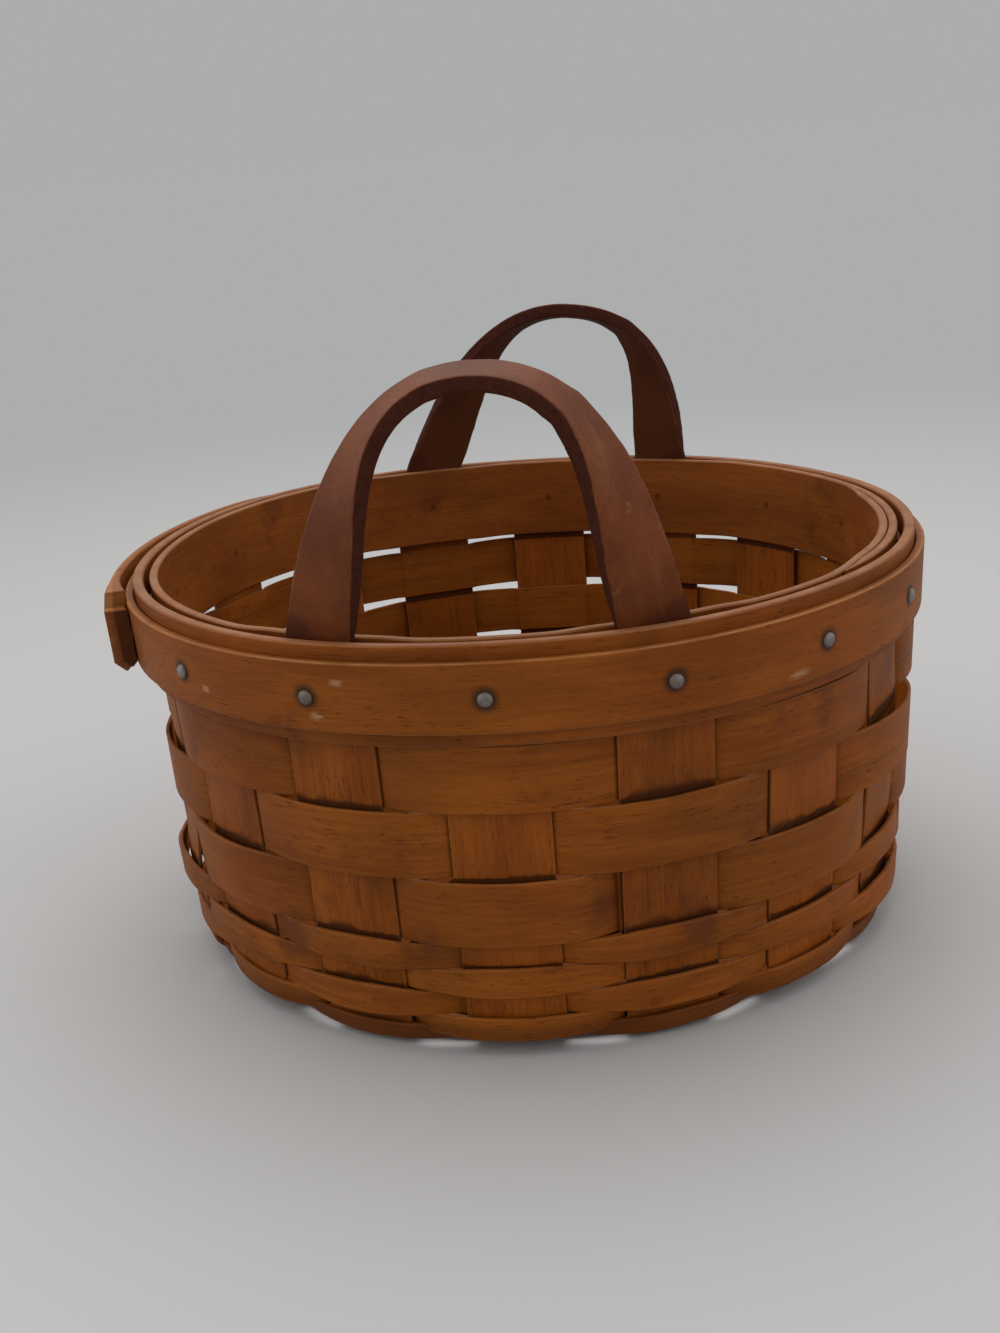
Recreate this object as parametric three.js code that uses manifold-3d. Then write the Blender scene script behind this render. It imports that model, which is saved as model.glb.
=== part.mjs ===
// Round splint basket: crossed splints, woven hoops, a three-layer tacked rim and two leather ears.
// Millimetres, +Z up. The origin is the middle of the base on the table, and the front ear is at -Y.
import * as THREE from "three";
import { mergeVertices } from "three/addons/utils/BufferGeometryUtils.js";
import Module from "manifold-3d";

// Overall form
const RIM_RADIUS = 90; // outer face of the rim hoop at the lip
const LIP_HEIGHT = 89.4; // table to lip
const WALL_LEAN = 2.7; // degrees by which the wall opens outward
const CORNER_RADIUS = 7.3; // bend of the splints from base to wall

// Splints: each runs up one wall, under the base and up the other wall
const SPLINT_COUNT = 8;
const SPLINT_WIDTH = 20;
const SPLINT_WAIST = 8; // width where the splints cross
const SPLINT_THICK = 0.8;
const SPLINT_DROP = 1.2; // splint ends stop this far below the lip
const STAR_PITCH = 0.95; // rise from one crossing splint to the next
const STAR_RAMP = 14; // length over which a splint climbs into the star

// Weavers
const WEAVER_THICK = 1;
const WIDE_WEAVER = 13.4;
const NARROW_WEAVER = 4.9;
const NARROW_WALL_ROWS = 3;
const ROW_GAP = 0.7;
const EDGE_MARGIN = 0.8; // a weaver lies flat this far past each splint edge
const LAP_SPREAD = 5; // stakes from one row's lap to the next

// Rim bands
const BAND_DEPTH = 20.5; // lip to the lower edges of the rim hoop and the inner band
const HOOP_THICK = 2;
const INNER_BAND_THICK = 1.9;
const OUTER_BAND_THICK = 2;
const OUTER_BAND_DROP = 3; // lip to the top edge of the outer band
const OUTER_BAND_HEIGHT = 14.2;
const OUTER_LAP = { start: -128, tip: -74 }; // degrees, both ends of the outer band's lap
const INNER_LAP = { start: 54, tip: 110 }; // degrees, both ends of the inner band's lap
const LAP_RAMP = 9; // degrees in which a band steps over its own end
const TIP_SPRING = 3.2; // the loose tip stands off this far

// Leather ears
const EAR_RISE = 49.5; // lip to the top of the front ear
const EAR_BACK_SINK = 6; // the back ear sits this much deeper
const EAR_DRIFT = { front: 1.2, back: -9 }; // how far each crown leans sideways
const EAR_FOOT_WIDTH = 14.6;
const EAR_CROWN_WIDTH = 10;
const EAR_THICK = 3.4;
const EAR_TONGUE_THICK = 1.4; // thinned foot between the bands
const EAR_THINNING = 9; // length over which the foot swells to full thickness
const EAR_LEG_LEAN = 17; // degrees by which the legs lean towards each other at the rim
const EAR_FOOT_SHIFT = 1.5; // at the lip, legs sit this far inward of their splints' middles
const EAR_FOOT_CLEAR = 7.6; // front foot ends this far above the inner band's lower edge
const EAR_CROWN_OUT = 2.4; // the crown stands this far outside the feet
const EAR_CROWN_TILT = 9; // degrees by which the crown's outer edge dips
const EAR_BEND = 0.47; // pull of the legs on the arch, as a share of its rise
const EAR_SHOULDER = 0.74; // pull of the crown on the arch, as a share of its half span

// Tacks
const TACK_HEAD_RADIUS = 1.6;
const TACK_HEAD_HEIGHT = 0.8;
const TACK_SHANK_RADIUS = 0.6;
const TACK_POINT = 1;
const TACK_PROUD = 0.2; // point shows this far inside the inner band

// Clearance between pieces that touch
const FIT = 0.3;

// Facets
const HOOP_STEPS = 64;
const INNER_STEPS_PER_STAKE = 6;
const OUTER_STEPS_PER_STAKE = 4;
const EAR_STEPS = 10;
const TACK_SIDES = 8;
const HOLE_SIDES = 6;

const wasm = await Module();
wasm.setup();

const radians = THREE.MathUtils.degToRad;
const lean = radians(WALL_LEAN);
const stakeCount = 2 * SPLINT_COUNT;
const stakePitch = (2 * Math.PI) / stakeCount;
const weaveOffset = (SPLINT_THICK + WEAVER_THICK) / 2 + FIT;
const baseLevel = weaveOffset + WEAVER_THICK / 2;

// The stake's middle at the lip: its flat outer corners just clear the inside of the rim hoop
const hoopInside = (RIM_RADIUS - HOOP_THICK) * Math.cos(Math.PI / HOOP_STEPS) - FIT;
const stakeLip = Math.sqrt(hoopInside ** 2 - (SPLINT_WIDTH / 2) ** 2) - SPLINT_THICK / 2;
const wallRadius = (z) => stakeLip - (LIP_HEIGHT - z) * Math.tan(lean);

// Directions at an angle round the basket, measured from the front towards +X
const outward = (angle) => new THREE.Vector3(Math.sin(angle), -Math.cos(angle), 0);
const sideways = (angle) => new THREE.Vector3(Math.cos(angle), Math.sin(angle), 0);

function at(angle, radius, height, aside = 0) {
  const place = outward(angle).multiplyScalar(radius).addScaledVector(sideways(angle), aside);
  return place.setZ(height);
}

const smooth = (x) => THREE.MathUtils.smoothstep(x, 0, 1);
const rowsThatFit = (length, width, gap) => Math.max(1, Math.floor(length / (width + gap)));

// Solids

// A closed body from rings of points: open strips get end faces, closed hoops run round to the start
function loft(rings, closed = false) {
  const sides = rings[0].length;
  const points = rings.flat();
  const faces = [];
  const spans = closed ? rings.length : rings.length - 1;
  for (let ring = 0; ring < spans; ring++) {
    const next = (ring + 1) % rings.length;
    for (let side = 0; side < sides; side++) {
      const beside = (side + 1) % sides;
      const [a, b] = [ring * sides + side, ring * sides + beside];
      const [c, d] = [next * sides + beside, next * sides + side];
      faces.push(a, b, c, a, c, d);
    }
  }
  if (!closed) {
    const last = (rings.length - 1) * sides;
    for (let side = 1; side < sides - 1; side++) {
      faces.push(0, side + 1, side, last, last + side, last + side + 1);
    }
  }
  const geometry = new THREE.BufferGeometry().setFromPoints(points);
  geometry.setIndex(faceOut(points, faces));
  return geometry;
}

// Turns every face round if the body they enclose has a negative volume
function faceOut(points, faces) {
  let volume = 0;
  for (let i = 0; i < faces.length; i += 3) {
    const [a, b, c] = [points[faces[i]], points[faces[i + 1]], points[faces[i + 2]]];
    volume += a.dot(b.clone().cross(c));
  }
  return volume < 0 ? faces.reverse() : faces;
}

function solidOf(geometry) {
  const bare = geometry.clone();
  bare.deleteAttribute("normal");
  bare.deleteAttribute("uv");
  const merged = mergeVertices(bare, 1e-4);
  const mesh = new wasm.Mesh({
    numProp: 3,
    vertProperties: new Float32Array(merged.attributes.position.array),
    triVerts: new Uint32Array(merged.index.array),
  });
  return new wasm.Manifold(mesh);
}

function cut(geometry, cutters) {
  const solid = cutters.reduce((left, cutter) => left.subtract(solidOf(cutter)), solidOf(geometry));
  const { vertProperties, triVerts } = solid.getMesh();
  const result = new THREE.BufferGeometry();
  result.setAttribute("position", new THREE.BufferAttribute(vertProperties, 3));
  result.setIndex(new THREE.BufferAttribute(triVerts, 1));
  return result;
}

// Splint profile: straight wall, corner chords of one row each, flat base

const cornerHeight = baseLevel + CORNER_RADIUS;
const cornerInset = CORNER_RADIUS / Math.cos(lean);
const cornerMiddle = wallRadius(cornerHeight) - cornerInset;
const cornerSweep = Math.PI / 2 - lean;
const cornerRows = rowsThatFit(CORNER_RADIUS * cornerSweep, NARROW_WEAVER, FIT);

function cornerPoint(step) {
  const angle = -lean - (cornerSweep * step) / cornerRows;
  const r = cornerMiddle + CORNER_RADIUS * Math.cos(angle);
  return new THREE.Vector2(r, cornerHeight + CORNER_RADIUS * Math.sin(angle));
}

const cornerPoints = Array.from({ length: cornerRows + 1 }, (_, step) => cornerPoint(step));
const wallFoot = cornerPoints[0];
const baseEdge = cornerPoints[cornerRows];
const starInner = SPLINT_WAIST / 2 / Math.tan(stakePitch / 2) + FIT;
const starOuter = starInner + STAR_RAMP;

function splintWidth(radius) {
  const share = (radius - starOuter) / (wallFoot.x - starOuter);
  return THREE.MathUtils.lerp(SPLINT_WAIST, SPLINT_WIDTH, THREE.MathUtils.clamp(share, 0, 1));
}

function splintHalf(level) {
  const top = LIP_HEIGHT - SPLINT_DROP;
  return [
    new THREE.Vector2(wallRadius(top), top),
    ...cornerPoints,
    new THREE.Vector2(starOuter, baseLevel),
    new THREE.Vector2(starInner, baseLevel + level * STAR_PITCH),
  ];
}

// A flat strip along the profile, mitred at each bend so that its thickness stays even
function splint(index) {
  const angle = index * stakePitch;
  const level = (index % 2) * (SPLINT_COUNT / 2) + Math.floor(index / 2);
  const half = splintHalf(level);
  const far = half.map((p) => new THREE.Vector2(-p.x, p.y)).reverse();
  const path = [...half, ...far];
  const headings = path.slice(1).map((p, i) => p.clone().sub(path[i]).normalize());
  const rings = path.map((p, i) => {
    const before = headings[Math.max(i - 1, 0)];
    const after = headings[Math.min(i, headings.length - 1)];
    const along = before.clone().add(after).normalize();
    const reach = SPLINT_THICK / 2 / along.dot(after);
    const normal = new THREE.Vector2(along.y, -along.x).multiplyScalar(reach);
    const aside = splintWidth(Math.abs(p.x)) / 2;
    return [
      at(angle, p.x + normal.x, p.y + normal.y, aside),
      at(angle, p.x + normal.x, p.y + normal.y, -aside),
      at(angle, p.x - normal.x, p.y - normal.y, -aside),
      at(angle, p.x - normal.x, p.y - normal.y, aside),
    ];
  });
  return loft(rings);
}

// Rows of weaving, from under the rim bands down the wall, round the corner and in across the base

function rowsBetween(from, to, count, width) {
  const heading = to.clone().sub(from).normalize();
  const pitch = to.distanceTo(from) / count;
  return Array.from({ length: count }, (_, i) => {
    const upper = from.clone().addScaledVector(heading, i * pitch + (pitch - width) / 2);
    return { upper, lower: upper.clone().addScaledVector(heading, width), heading };
  });
}

const rowsTop = LIP_HEIGHT - BAND_DEPTH;
const wallTop = new THREE.Vector2(wallRadius(rowsTop), rowsTop);
const narrowZone = NARROW_WALL_ROWS * (NARROW_WEAVER + ROW_GAP);
const wallUp = wallTop.clone().sub(wallFoot).normalize();
const narrowTop = wallFoot.clone().addScaledVector(wallUp, narrowZone);
const starEdge = new THREE.Vector2(starOuter, baseLevel);
const wideRows = rowsThatFit(wallTop.distanceTo(narrowTop), WIDE_WEAVER, FIT);
const baseRows = rowsThatFit(baseEdge.x - starOuter, NARROW_WEAVER, ROW_GAP);

const wallRows = rowsBetween(wallTop, narrowTop, wideRows, WIDE_WEAVER);
const footRows = rowsBetween(narrowTop, wallFoot, NARROW_WALL_ROWS, NARROW_WEAVER);
const bendRows = cornerPoints
  .slice(1)
  .flatMap((end, i) => rowsBetween(cornerPoints[i], end, 1, NARROW_WEAVER));
const floorRows = rowsBetween(baseEdge, starEdge, baseRows, NARROW_WEAVER);

// One strip: flat over or under each stake, crossing the stakes' surface halfway between them.
// It starts and ends behind the same stake, where its end lies inside its start.
function weaver(row, rowNumber) {
  const normal = new THREE.Vector2(-row.heading.y, row.heading.x);
  const reach = (p) => splintWidth(p.x) / 2 + EDGE_MARGIN;
  const swell = (p) => Math.hypot(p.x, reach(p)) - p.x;
  const section = (place, offset) => {
    const corner = (p, side) => {
      const lift = offset + (side * WEAVER_THICK) / 2;
      return place(p, p.clone().addScaledVector(normal, lift));
    };
    return [corner(row.upper, 1), corner(row.lower, 1), corner(row.lower, -1), corner(row.upper, -1)];
  };
  const first = lapStake(rowNumber);
  const rings = [];
  for (let stake = first; stake <= first + stakeCount; stake++) {
    const angle = stake * stakePitch;
    const lapped = stake === first + stakeCount ? WEAVER_THICK + FIT : 0;
    const offset = (stake + rowNumber) % 2 ? weaveOffset : -weaveOffset - lapped;
    rings.push(section((p, q) => at(angle, q.x, q.y, -reach(p)), offset));
    rings.push(section((p, q) => at(angle, q.x, q.y, reach(p)), offset));
    if (!lapped) rings.push(section((p, q) => at(angle + stakePitch / 2, q.x + swell(p), q.y), 0));
  }
  return loft(rings);
}

// The laps are spread round the basket, each at a stake that its row passes behind
function lapStake(rowNumber) {
  const turn = (((rowNumber * LAP_SPREAD) % stakeCount) + stakeCount) % stakeCount;
  return (turn + rowNumber) % 2 ? turn + 1 : turn;
}

// Rim bands

// A strip round the wall between two heights; inside(angle) is its inner face at lip height
function bandStrip(angles, inside, thickness, top, bottom) {
  const rings = angles.map((angle) => {
    const face = inside(angle);
    const topIn = (LIP_HEIGHT - top) * Math.tan(lean);
    const bottomIn = (LIP_HEIGHT - bottom) * Math.tan(lean);
    return [
      at(angle, face + thickness - topIn, top),
      at(angle, face + thickness - bottomIn, bottom),
      at(angle, face - bottomIn, bottom),
      at(angle, face - topIn, top),
    ];
  });
  return loft(rings);
}

function stepsFrom(start, end, stepsPerStake) {
  const step = stakePitch / stepsPerStake;
  const middle = [];
  for (let n = Math.floor(start / step) + 1; n * step < end - step / 4; n++) middle.push(n * step);
  return [start, ...middle, end];
}

function rimHoop() {
  const low = BAND_DEPTH * Math.tan(lean);
  const bottom = LIP_HEIGHT - BAND_DEPTH;
  const profile = [
    new THREE.Vector2(RIM_RADIUS - HOOP_THICK, LIP_HEIGHT),
    new THREE.Vector2(RIM_RADIUS - HOOP_THICK - low, bottom),
    new THREE.Vector2(RIM_RADIUS - low, bottom),
    new THREE.Vector2(RIM_RADIUS, LIP_HEIGHT),
    new THREE.Vector2(RIM_RADIUS - HOOP_THICK, LIP_HEIGHT),
  ];
  return new THREE.LatheGeometry(profile, HOOP_STEPS).rotateX(Math.PI / 2);
}

const lapRamp = radians(LAP_RAMP);
const outerStart = radians(OUTER_LAP.start);
const outerTip = radians(OUTER_LAP.tip) + 2 * Math.PI;
const innerStart = radians(INNER_LAP.start);
const innerTip = radians(INNER_LAP.tip) + 2 * Math.PI;

// How far a band has stepped over its own start, from 0 to 1, at an angle counted on past one turn
const lapShare = (angle, start) => smooth((angle - (start + 2 * Math.PI - lapRamp)) / (lapRamp * 0.8));

// The last stake tacked through both layers of the outer lap; beyond it the tip springs away
const lastLapStake = Math.ceil((outerStart + 2 * Math.PI) / stakePitch);
const lastLapAngle = lastLapStake * stakePitch;

function outerBandInside(angle) {
  const loose = Math.max(0, (angle - lastLapAngle) / (outerTip - lastLapAngle));
  const step = OUTER_BAND_THICK + FIT;
  return RIM_RADIUS + FIT + step * lapShare(angle, outerStart) + TIP_SPRING * loose ** 2;
}

function outerBand() {
  const top = LIP_HEIGHT - OUTER_BAND_DROP;
  const angles = stepsFrom(outerStart, outerTip, OUTER_STEPS_PER_STAKE);
  return bandStrip(angles, outerBandInside, OUTER_BAND_THICK, top, top - OUTER_BAND_HEIGHT);
}

// The inner band bows inward over the four ear feet
const footStakes = [1, SPLINT_COUNT - 1, SPLINT_COUNT + 1, stakeCount - 1];
const footRoom = EAR_TONGUE_THICK + FIT;
const legLean = radians(EAR_LEG_LEAN);
const footLength = BAND_DEPTH - EAR_FOOT_CLEAR;
const footSpread = (footLength + EAR_BACK_SINK) * Math.sin(legLean) - EAR_FOOT_SHIFT;
const footReach = (EAR_FOOT_WIDTH / 2 + footSpread + FIT) / stakeLip;
const footRamp = stakePitch / 3;

function footBow(angle) {
  const away = footStakes.map((stake) => {
    const gap = angle - stake * stakePitch;
    return Math.abs(gap - 2 * Math.PI * Math.round(gap / (2 * Math.PI)));
  });
  return footRoom * smooth(1 - (Math.min(...away) - footReach) / footRamp);
}

function innerBandInside(angle) {
  const outerFace = stakeLip - SPLINT_THICK / 2 - FIT - footBow(angle);
  return outerFace - INNER_BAND_THICK - (INNER_BAND_THICK + FIT) * lapShare(angle, innerStart);
}

function innerBand() {
  const angles = stepsFrom(innerStart, innerTip, INNER_STEPS_PER_STAKE);
  return bandStrip(angles, innerBandInside, INNER_BAND_THICK, LIP_HEIGHT, LIP_HEIGHT - BAND_DEPTH);
}

// Ears

// One ring of the strap: wide is the way across it, and its outer face is on the given side
function strapSection(middle, heading, wide, side, width, thick) {
  const across = wide.clone().addScaledVector(heading, -wide.dot(heading)).normalize();
  const face = across.clone().cross(heading).multiplyScalar((side * thick) / 2);
  const reach = across.multiplyScalar(width / 2);
  return [
    middle.clone().add(reach).add(face),
    middle.clone().add(reach).sub(face),
    middle.clone().sub(reach).sub(face),
    middle.clone().sub(reach).add(face),
  ];
}

// From one foot to the crown: facing outward at the foot and upward at the crown, thinned in the rim
function earHalf(side, sink, drift) {
  const mirror = new THREE.Vector3(side, 1, 1);
  const tongueOffset = SPLINT_THICK / 2 + FIT + EAR_TONGUE_THICK / 2;
  const foot = at(stakePitch, stakeLip - tongueOffset, LIP_HEIGHT, -EAR_FOOT_SHIFT).multiply(mirror);
  const upWall = outward(stakePitch).multiplyScalar(Math.sin(lean)).setZ(Math.cos(lean));
  const aside = sideways(stakePitch);
  const legUp = upWall.clone().multiplyScalar(Math.cos(legLean));
  legUp.addScaledVector(aside, -Math.sin(legLean)).multiply(mirror);
  const legAcross = aside.clone().multiplyScalar(Math.cos(legLean));
  legAcross.addScaledVector(upWall, Math.sin(legLean)).multiply(mirror);

  const rise = EAR_RISE - sink - EAR_THICK / 2;
  const pull = Math.abs(foot.x) * EAR_SHOULDER * side;
  const tip = -drift / (3 * rise);
  const crown = new THREE.Vector3(drift, foot.y - EAR_CROWN_OUT, LIP_HEIGHT + rise);
  const bend = foot.clone().addScaledVector(legUp, rise * EAR_BEND);
  bend.add(new THREE.Vector3(drift, -EAR_CROWN_OUT / 2, 0).multiplyScalar(EAR_BEND));
  const shoulder = crown.clone().add(new THREE.Vector3(pull, 0, tip * pull));
  const arch = new THREE.CubicBezierCurve3(foot, bend, shoulder, crown);
  const tilt = radians(EAR_CROWN_TILT);
  const crownAcross = new THREE.Vector3(0, Math.cos(tilt), Math.sin(tilt));

  const end = foot.clone().addScaledVector(legUp, -footLength - sink);
  const rings = [strapSection(end, legUp, legAcross, side, EAR_FOOT_WIDTH, EAR_TONGUE_THICK)];
  for (let step = 0; step <= EAR_STEPS; step++) {
    const u = step / EAR_STEPS;
    const heading = step ? arch.getTangentAt(u) : legUp;
    const wide = legAcross.clone().lerp(crownAcross, smooth(u));
    const width = THREE.MathUtils.lerp(EAR_FOOT_WIDTH, EAR_CROWN_WIDTH, u);
    const swell = smooth((u * arch.getLength()) / EAR_THINNING);
    const thick = THREE.MathUtils.lerp(EAR_TONGUE_THICK, EAR_THICK, swell);
    rings.push(strapSection(arch.getPointAt(u), heading, wide, side, width, thick));
  }
  return rings;
}

function ear(sink, drift) {
  const left = earHalf(-1, sink, drift).reverse();
  return loft([...earHalf(1, sink, drift), ...left.slice(1)]);
}

// Tacks: one through the middle of the outer band at every stake

const tackHeight = LIP_HEIGHT - OUTER_BAND_DROP - OUTER_BAND_HEIGHT / 2;
const tackInset = (LIP_HEIGHT - tackHeight) * Math.tan(lean);

// A tack through both layers of a lap is longer than the others
function tackSpan(stake) {
  const angle = stake * stakePitch;
  const pastLap = angle > outerStart + 2 * Math.PI && stake !== lastLapStake;
  const outerTurn = pastLap ? angle - 2 * Math.PI : angle;
  const innerTurn = angle + 2 * Math.PI < innerTip ? angle + 2 * Math.PI : angle;
  const face = outerBandInside(outerTurn) + OUTER_BAND_THICK - tackInset;
  return { face, length: face - innerBandInside(innerTurn) + tackInset + TACK_PROUD };
}

function tack(stake) {
  const { face, length } = tackSpan(stake);
  const top = FIT + TACK_HEAD_HEIGHT;
  const profile = [
    new THREE.Vector2(0, -length),
    new THREE.Vector2(TACK_SHANK_RADIUS, -length + TACK_POINT),
    new THREE.Vector2(TACK_SHANK_RADIUS, FIT),
    new THREE.Vector2(TACK_HEAD_RADIUS, FIT),
    new THREE.Vector2(TACK_HEAD_RADIUS, FIT + TACK_HEAD_HEIGHT / 3),
    new THREE.Vector2(TACK_HEAD_RADIUS * 0.6, top - TACK_HEAD_HEIGHT / 8),
    new THREE.Vector2(0, top),
  ];
  return placedOnRim(new THREE.LatheGeometry(profile, TACK_SIDES), stake, face);
}

function tackHole(stake) {
  const { face, length } = tackSpan(stake);
  const deep = length + 2 * FIT;
  const radius = TACK_SHANK_RADIUS + FIT;
  const hole = new THREE.CylinderGeometry(radius, radius, deep, HOLE_SIDES);
  return placedOnRim(hole.translate(0, 2 * FIT - deep / 2, 0), stake, face);
}

// Lays a piece's own Y axis square to the rim at a stake, with its zero on the given face
function placedOnRim(geometry, stake, face) {
  const angle = stake * stakePitch;
  geometry.rotateX(Math.PI + lean);
  geometry.rotateZ(angle);
  const place = at(angle, face, tackHeight);
  return geometry.translate(place.x, place.y, place.z);
}

// Finishes
function finish(color, roughness, metalness = 0) {
  return new THREE.MeshStandardMaterial({ color, roughness, metalness });
}

const splintWood = finish(0x9a5a25, 0.55);
const weaverWood = finish(0xa5622a, 0.5);
const bandWood = finish(0xa9672e, 0.45);
const leather = finish(0x70402c, 0.5);
const tackSteel = finish(0x77736c, 0.5, 0.9);

// Assembly
const basket = new THREE.Group();

function add(name, geometry, material, parent = basket) {
  const mesh = new THREE.Mesh(geometry, material);
  mesh.name = name;
  parent.add(mesh);
  return mesh;
}

const stakes = Array.from({ length: stakeCount }, (_, i) => i);
const holes = stakes.map(tackHole);

for (let i = 0; i < SPLINT_COUNT; i++) {
  add(`splint_${i + 1}`, cut(splint(i), [holes[i], holes[i + SPLINT_COUNT]]), splintWood);
}

const rowGroups = [
  ["wall_weaver", wallRows],
  ["foot_weaver", footRows],
  ["corner_weaver", bendRows],
  ["base_weaver", floorRows],
];

// Numbers count from the wall's foot, so that the order over and under holds at every size
let rowNumber = 1 - wallRows.length - footRows.length;
for (const [name, rows] of rowGroups) {
  rows.forEach((row, i) => {
    add(`${name}_${i + 1}`, weaver(row, rowNumber), weaverWood);
    rowNumber += 1;
  });
}

add("inner_band", cut(innerBand(), holes), bandWood);
add("rim_hoop", cut(rimHoop(), holes), bandWood);
add("outer_band", cut(outerBand(), holes), bandWood);

const footHoles = [holes[1], holes[stakeCount - 1]];
add("ear_front", cut(ear(0, EAR_DRIFT.front), footHoles), leather);
const backHalf = new THREE.Group();
backHalf.rotation.z = Math.PI;
basket.add(backHalf);
add("ear_back", cut(ear(EAR_BACK_SINK, EAR_DRIFT.back), footHoles), leather, backHalf);

for (const stake of stakes) {
  add(`tack_${String(stake + 1).padStart(2, "0")}`, tack(stake), tackSteel);
}

export default basket;
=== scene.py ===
"""A small round basket woven of flat stained wood, with a tacked rim and two leather ears."""
import bisect
import math
import random

import bpy
from mathutils import Matrix, Vector, noise


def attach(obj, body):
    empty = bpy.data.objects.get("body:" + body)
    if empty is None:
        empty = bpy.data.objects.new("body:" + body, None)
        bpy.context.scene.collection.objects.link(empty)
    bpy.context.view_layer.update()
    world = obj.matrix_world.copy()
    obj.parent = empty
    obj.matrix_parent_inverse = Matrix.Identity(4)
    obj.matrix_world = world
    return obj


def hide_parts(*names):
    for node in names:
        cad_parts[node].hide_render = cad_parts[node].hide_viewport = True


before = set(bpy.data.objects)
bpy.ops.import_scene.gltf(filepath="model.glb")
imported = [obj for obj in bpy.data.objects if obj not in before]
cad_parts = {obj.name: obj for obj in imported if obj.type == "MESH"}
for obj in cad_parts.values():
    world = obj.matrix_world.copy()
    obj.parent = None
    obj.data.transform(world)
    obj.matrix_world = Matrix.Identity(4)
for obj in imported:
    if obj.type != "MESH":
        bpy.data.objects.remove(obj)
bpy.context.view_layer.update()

# The scene is in metres
MM = 0.001
FULL_TURN = 2 * math.pi
QUARTER_TURN = math.pi / 2

# Sizes of the basket, in millimetres
LIP_HEIGHT = 89.4
WALL_LEAN = math.radians(2.7)
STAKE_LIP = 86.8
CORNER_RADIUS = 7.3
BASE_LEVEL = 1.7
STAKES = 16
STAKE_PITCH = FULL_TURN / STAKES
CLEARANCE = 0.2

SPLINT_WIDTH = 20.2
SPLINT_WAIST = 8
SPLINT_THICK = 0.8
SPLINT_CHAMFER = 0.16
SPLINT_TOP = LIP_HEIGHT - 4.5
STAR_INNER = 20.4
STAR_OUTER = 34.4
STAR_PITCH = 0.95

BAND_DEPTH = 20.5
WEAVER_THICK = 1.0
WIDE_ROWS = 3
FOOT_ROWS = 3
BASE_ROWS = 7
NARROW_PITCH = 5.6
ROW_GAP = 0.3
BASE_ROW_GAP = 0.7
BASE_OVERHANG = 1.2

HOOP_INSIDE = 87.6
HOOP_THICK = 2.4
INNER_BAND_THICK = 1.9
OUTER_BAND_THICK = 2.0
OUTER_BAND_HEIGHT = 14.2
OUTER_BAND_TOP = LIP_HEIGHT - 3.0
TACK_DROP = 10.1
TACK_FACE = 92.3
LAP_TACK = 11

EAR_FOOT_WIDTH = 14.6
EAR_CROWN_WIDTH = 10.0
EAR_THICK = 3.4
EAR_TONGUE = 1.4
EAR_RISE = 49.5
EAR_SEAT = 85.2
EAR_TAIL = 12.9
LEG_LEAN = math.radians(17)
CROWN_TILT = math.radians(9)


def smooth(share):
    share = min(max(share, 0.0), 1.0)
    return share * share * (3 - 2 * share)


def mix(a, b, share):
    return a + (b - a) * share


def bell(distance, reach):
    return math.exp(-(distance / reach) ** 2)


def turn_between(angle, middle):
    """The shorter way round from one angle to another."""
    return (angle - middle + math.pi) % FULL_TURN - math.pi


def outward(angle):
    return Vector((math.sin(angle), -math.cos(angle), 0))


def sideways(angle):
    return Vector((math.cos(angle), math.sin(angle), 0))


def at(angle, radius, height, aside=0.0):
    return outward(angle) * radius + sideways(angle) * aside + Vector((0, 0, height))


# The wall, the bend at its foot and the base

def wall_radius(height):
    return STAKE_LIP - (LIP_HEIGHT - height) * math.tan(WALL_LEAN)


CORNER_HEIGHT = BASE_LEVEL + CORNER_RADIUS
CORNER_MIDDLE = wall_radius(CORNER_HEIGHT) - CORNER_RADIUS / math.cos(WALL_LEAN)
CORNER_SWEEP = QUARTER_TURN - WALL_LEAN
FOOT_HEIGHT = CORNER_HEIGHT - CORNER_RADIUS * math.sin(WALL_LEAN)
FOOT_RADIUS = CORNER_MIDDLE + CORNER_RADIUS * math.cos(WALL_LEAN)
wall_top = LIP_HEIGHT - BAND_DEPTH
wall_length = (wall_top - FOOT_HEIGHT) / math.cos(WALL_LEAN)
wide_pitch = (wall_length - FOOT_ROWS * NARROW_PITCH) / WIDE_ROWS
wide_width = wide_pitch - ROW_GAP
narrow_width = NARROW_PITCH - ROW_GAP
base_edge = CORNER_MIDDLE + BASE_OVERHANG
base_pitch = (base_edge - STAR_OUTER) / BASE_ROWS


def on_wall(distance):
    """Radius, height and lean at a distance down the wall."""
    height = wall_top - distance * math.cos(WALL_LEAN)
    return wall_radius(height), height, WALL_LEAN


def on_corner(share):
    """Radius, height and lean at a share of the bend."""
    turn = WALL_LEAN + CORNER_SWEEP * share
    radius = CORNER_MIDDLE + CORNER_RADIUS * math.cos(turn)
    return radius, CORNER_HEIGHT - CORNER_RADIUS * math.sin(turn), turn


# Where the wall is out of round: angle, then height, reach and amount of each swell or dent
SWELL_SPREAD = math.radians(30)
RIGHT_SWELL = (math.radians(84), (44.0, 20.0, 1.6), (9.0, 7.0, 1.0))
LEFT_SWELL = (math.radians(-82), (22.0, 12.0, 2.3), (6.5, 5.5, -2.7))


def swell_at(height, swell):
    return sum(amount * bell(height - level, reach) for level, reach, amount in swell[1:])


def wall_swell(angle, height):
    total = 0.0
    for swell in (RIGHT_SWELL, LEFT_SWELL):
        total += swell_at(height, swell) * bell(turn_between(angle, swell[0]), SWELL_SPREAD)
    return total


# Node trees

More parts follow.
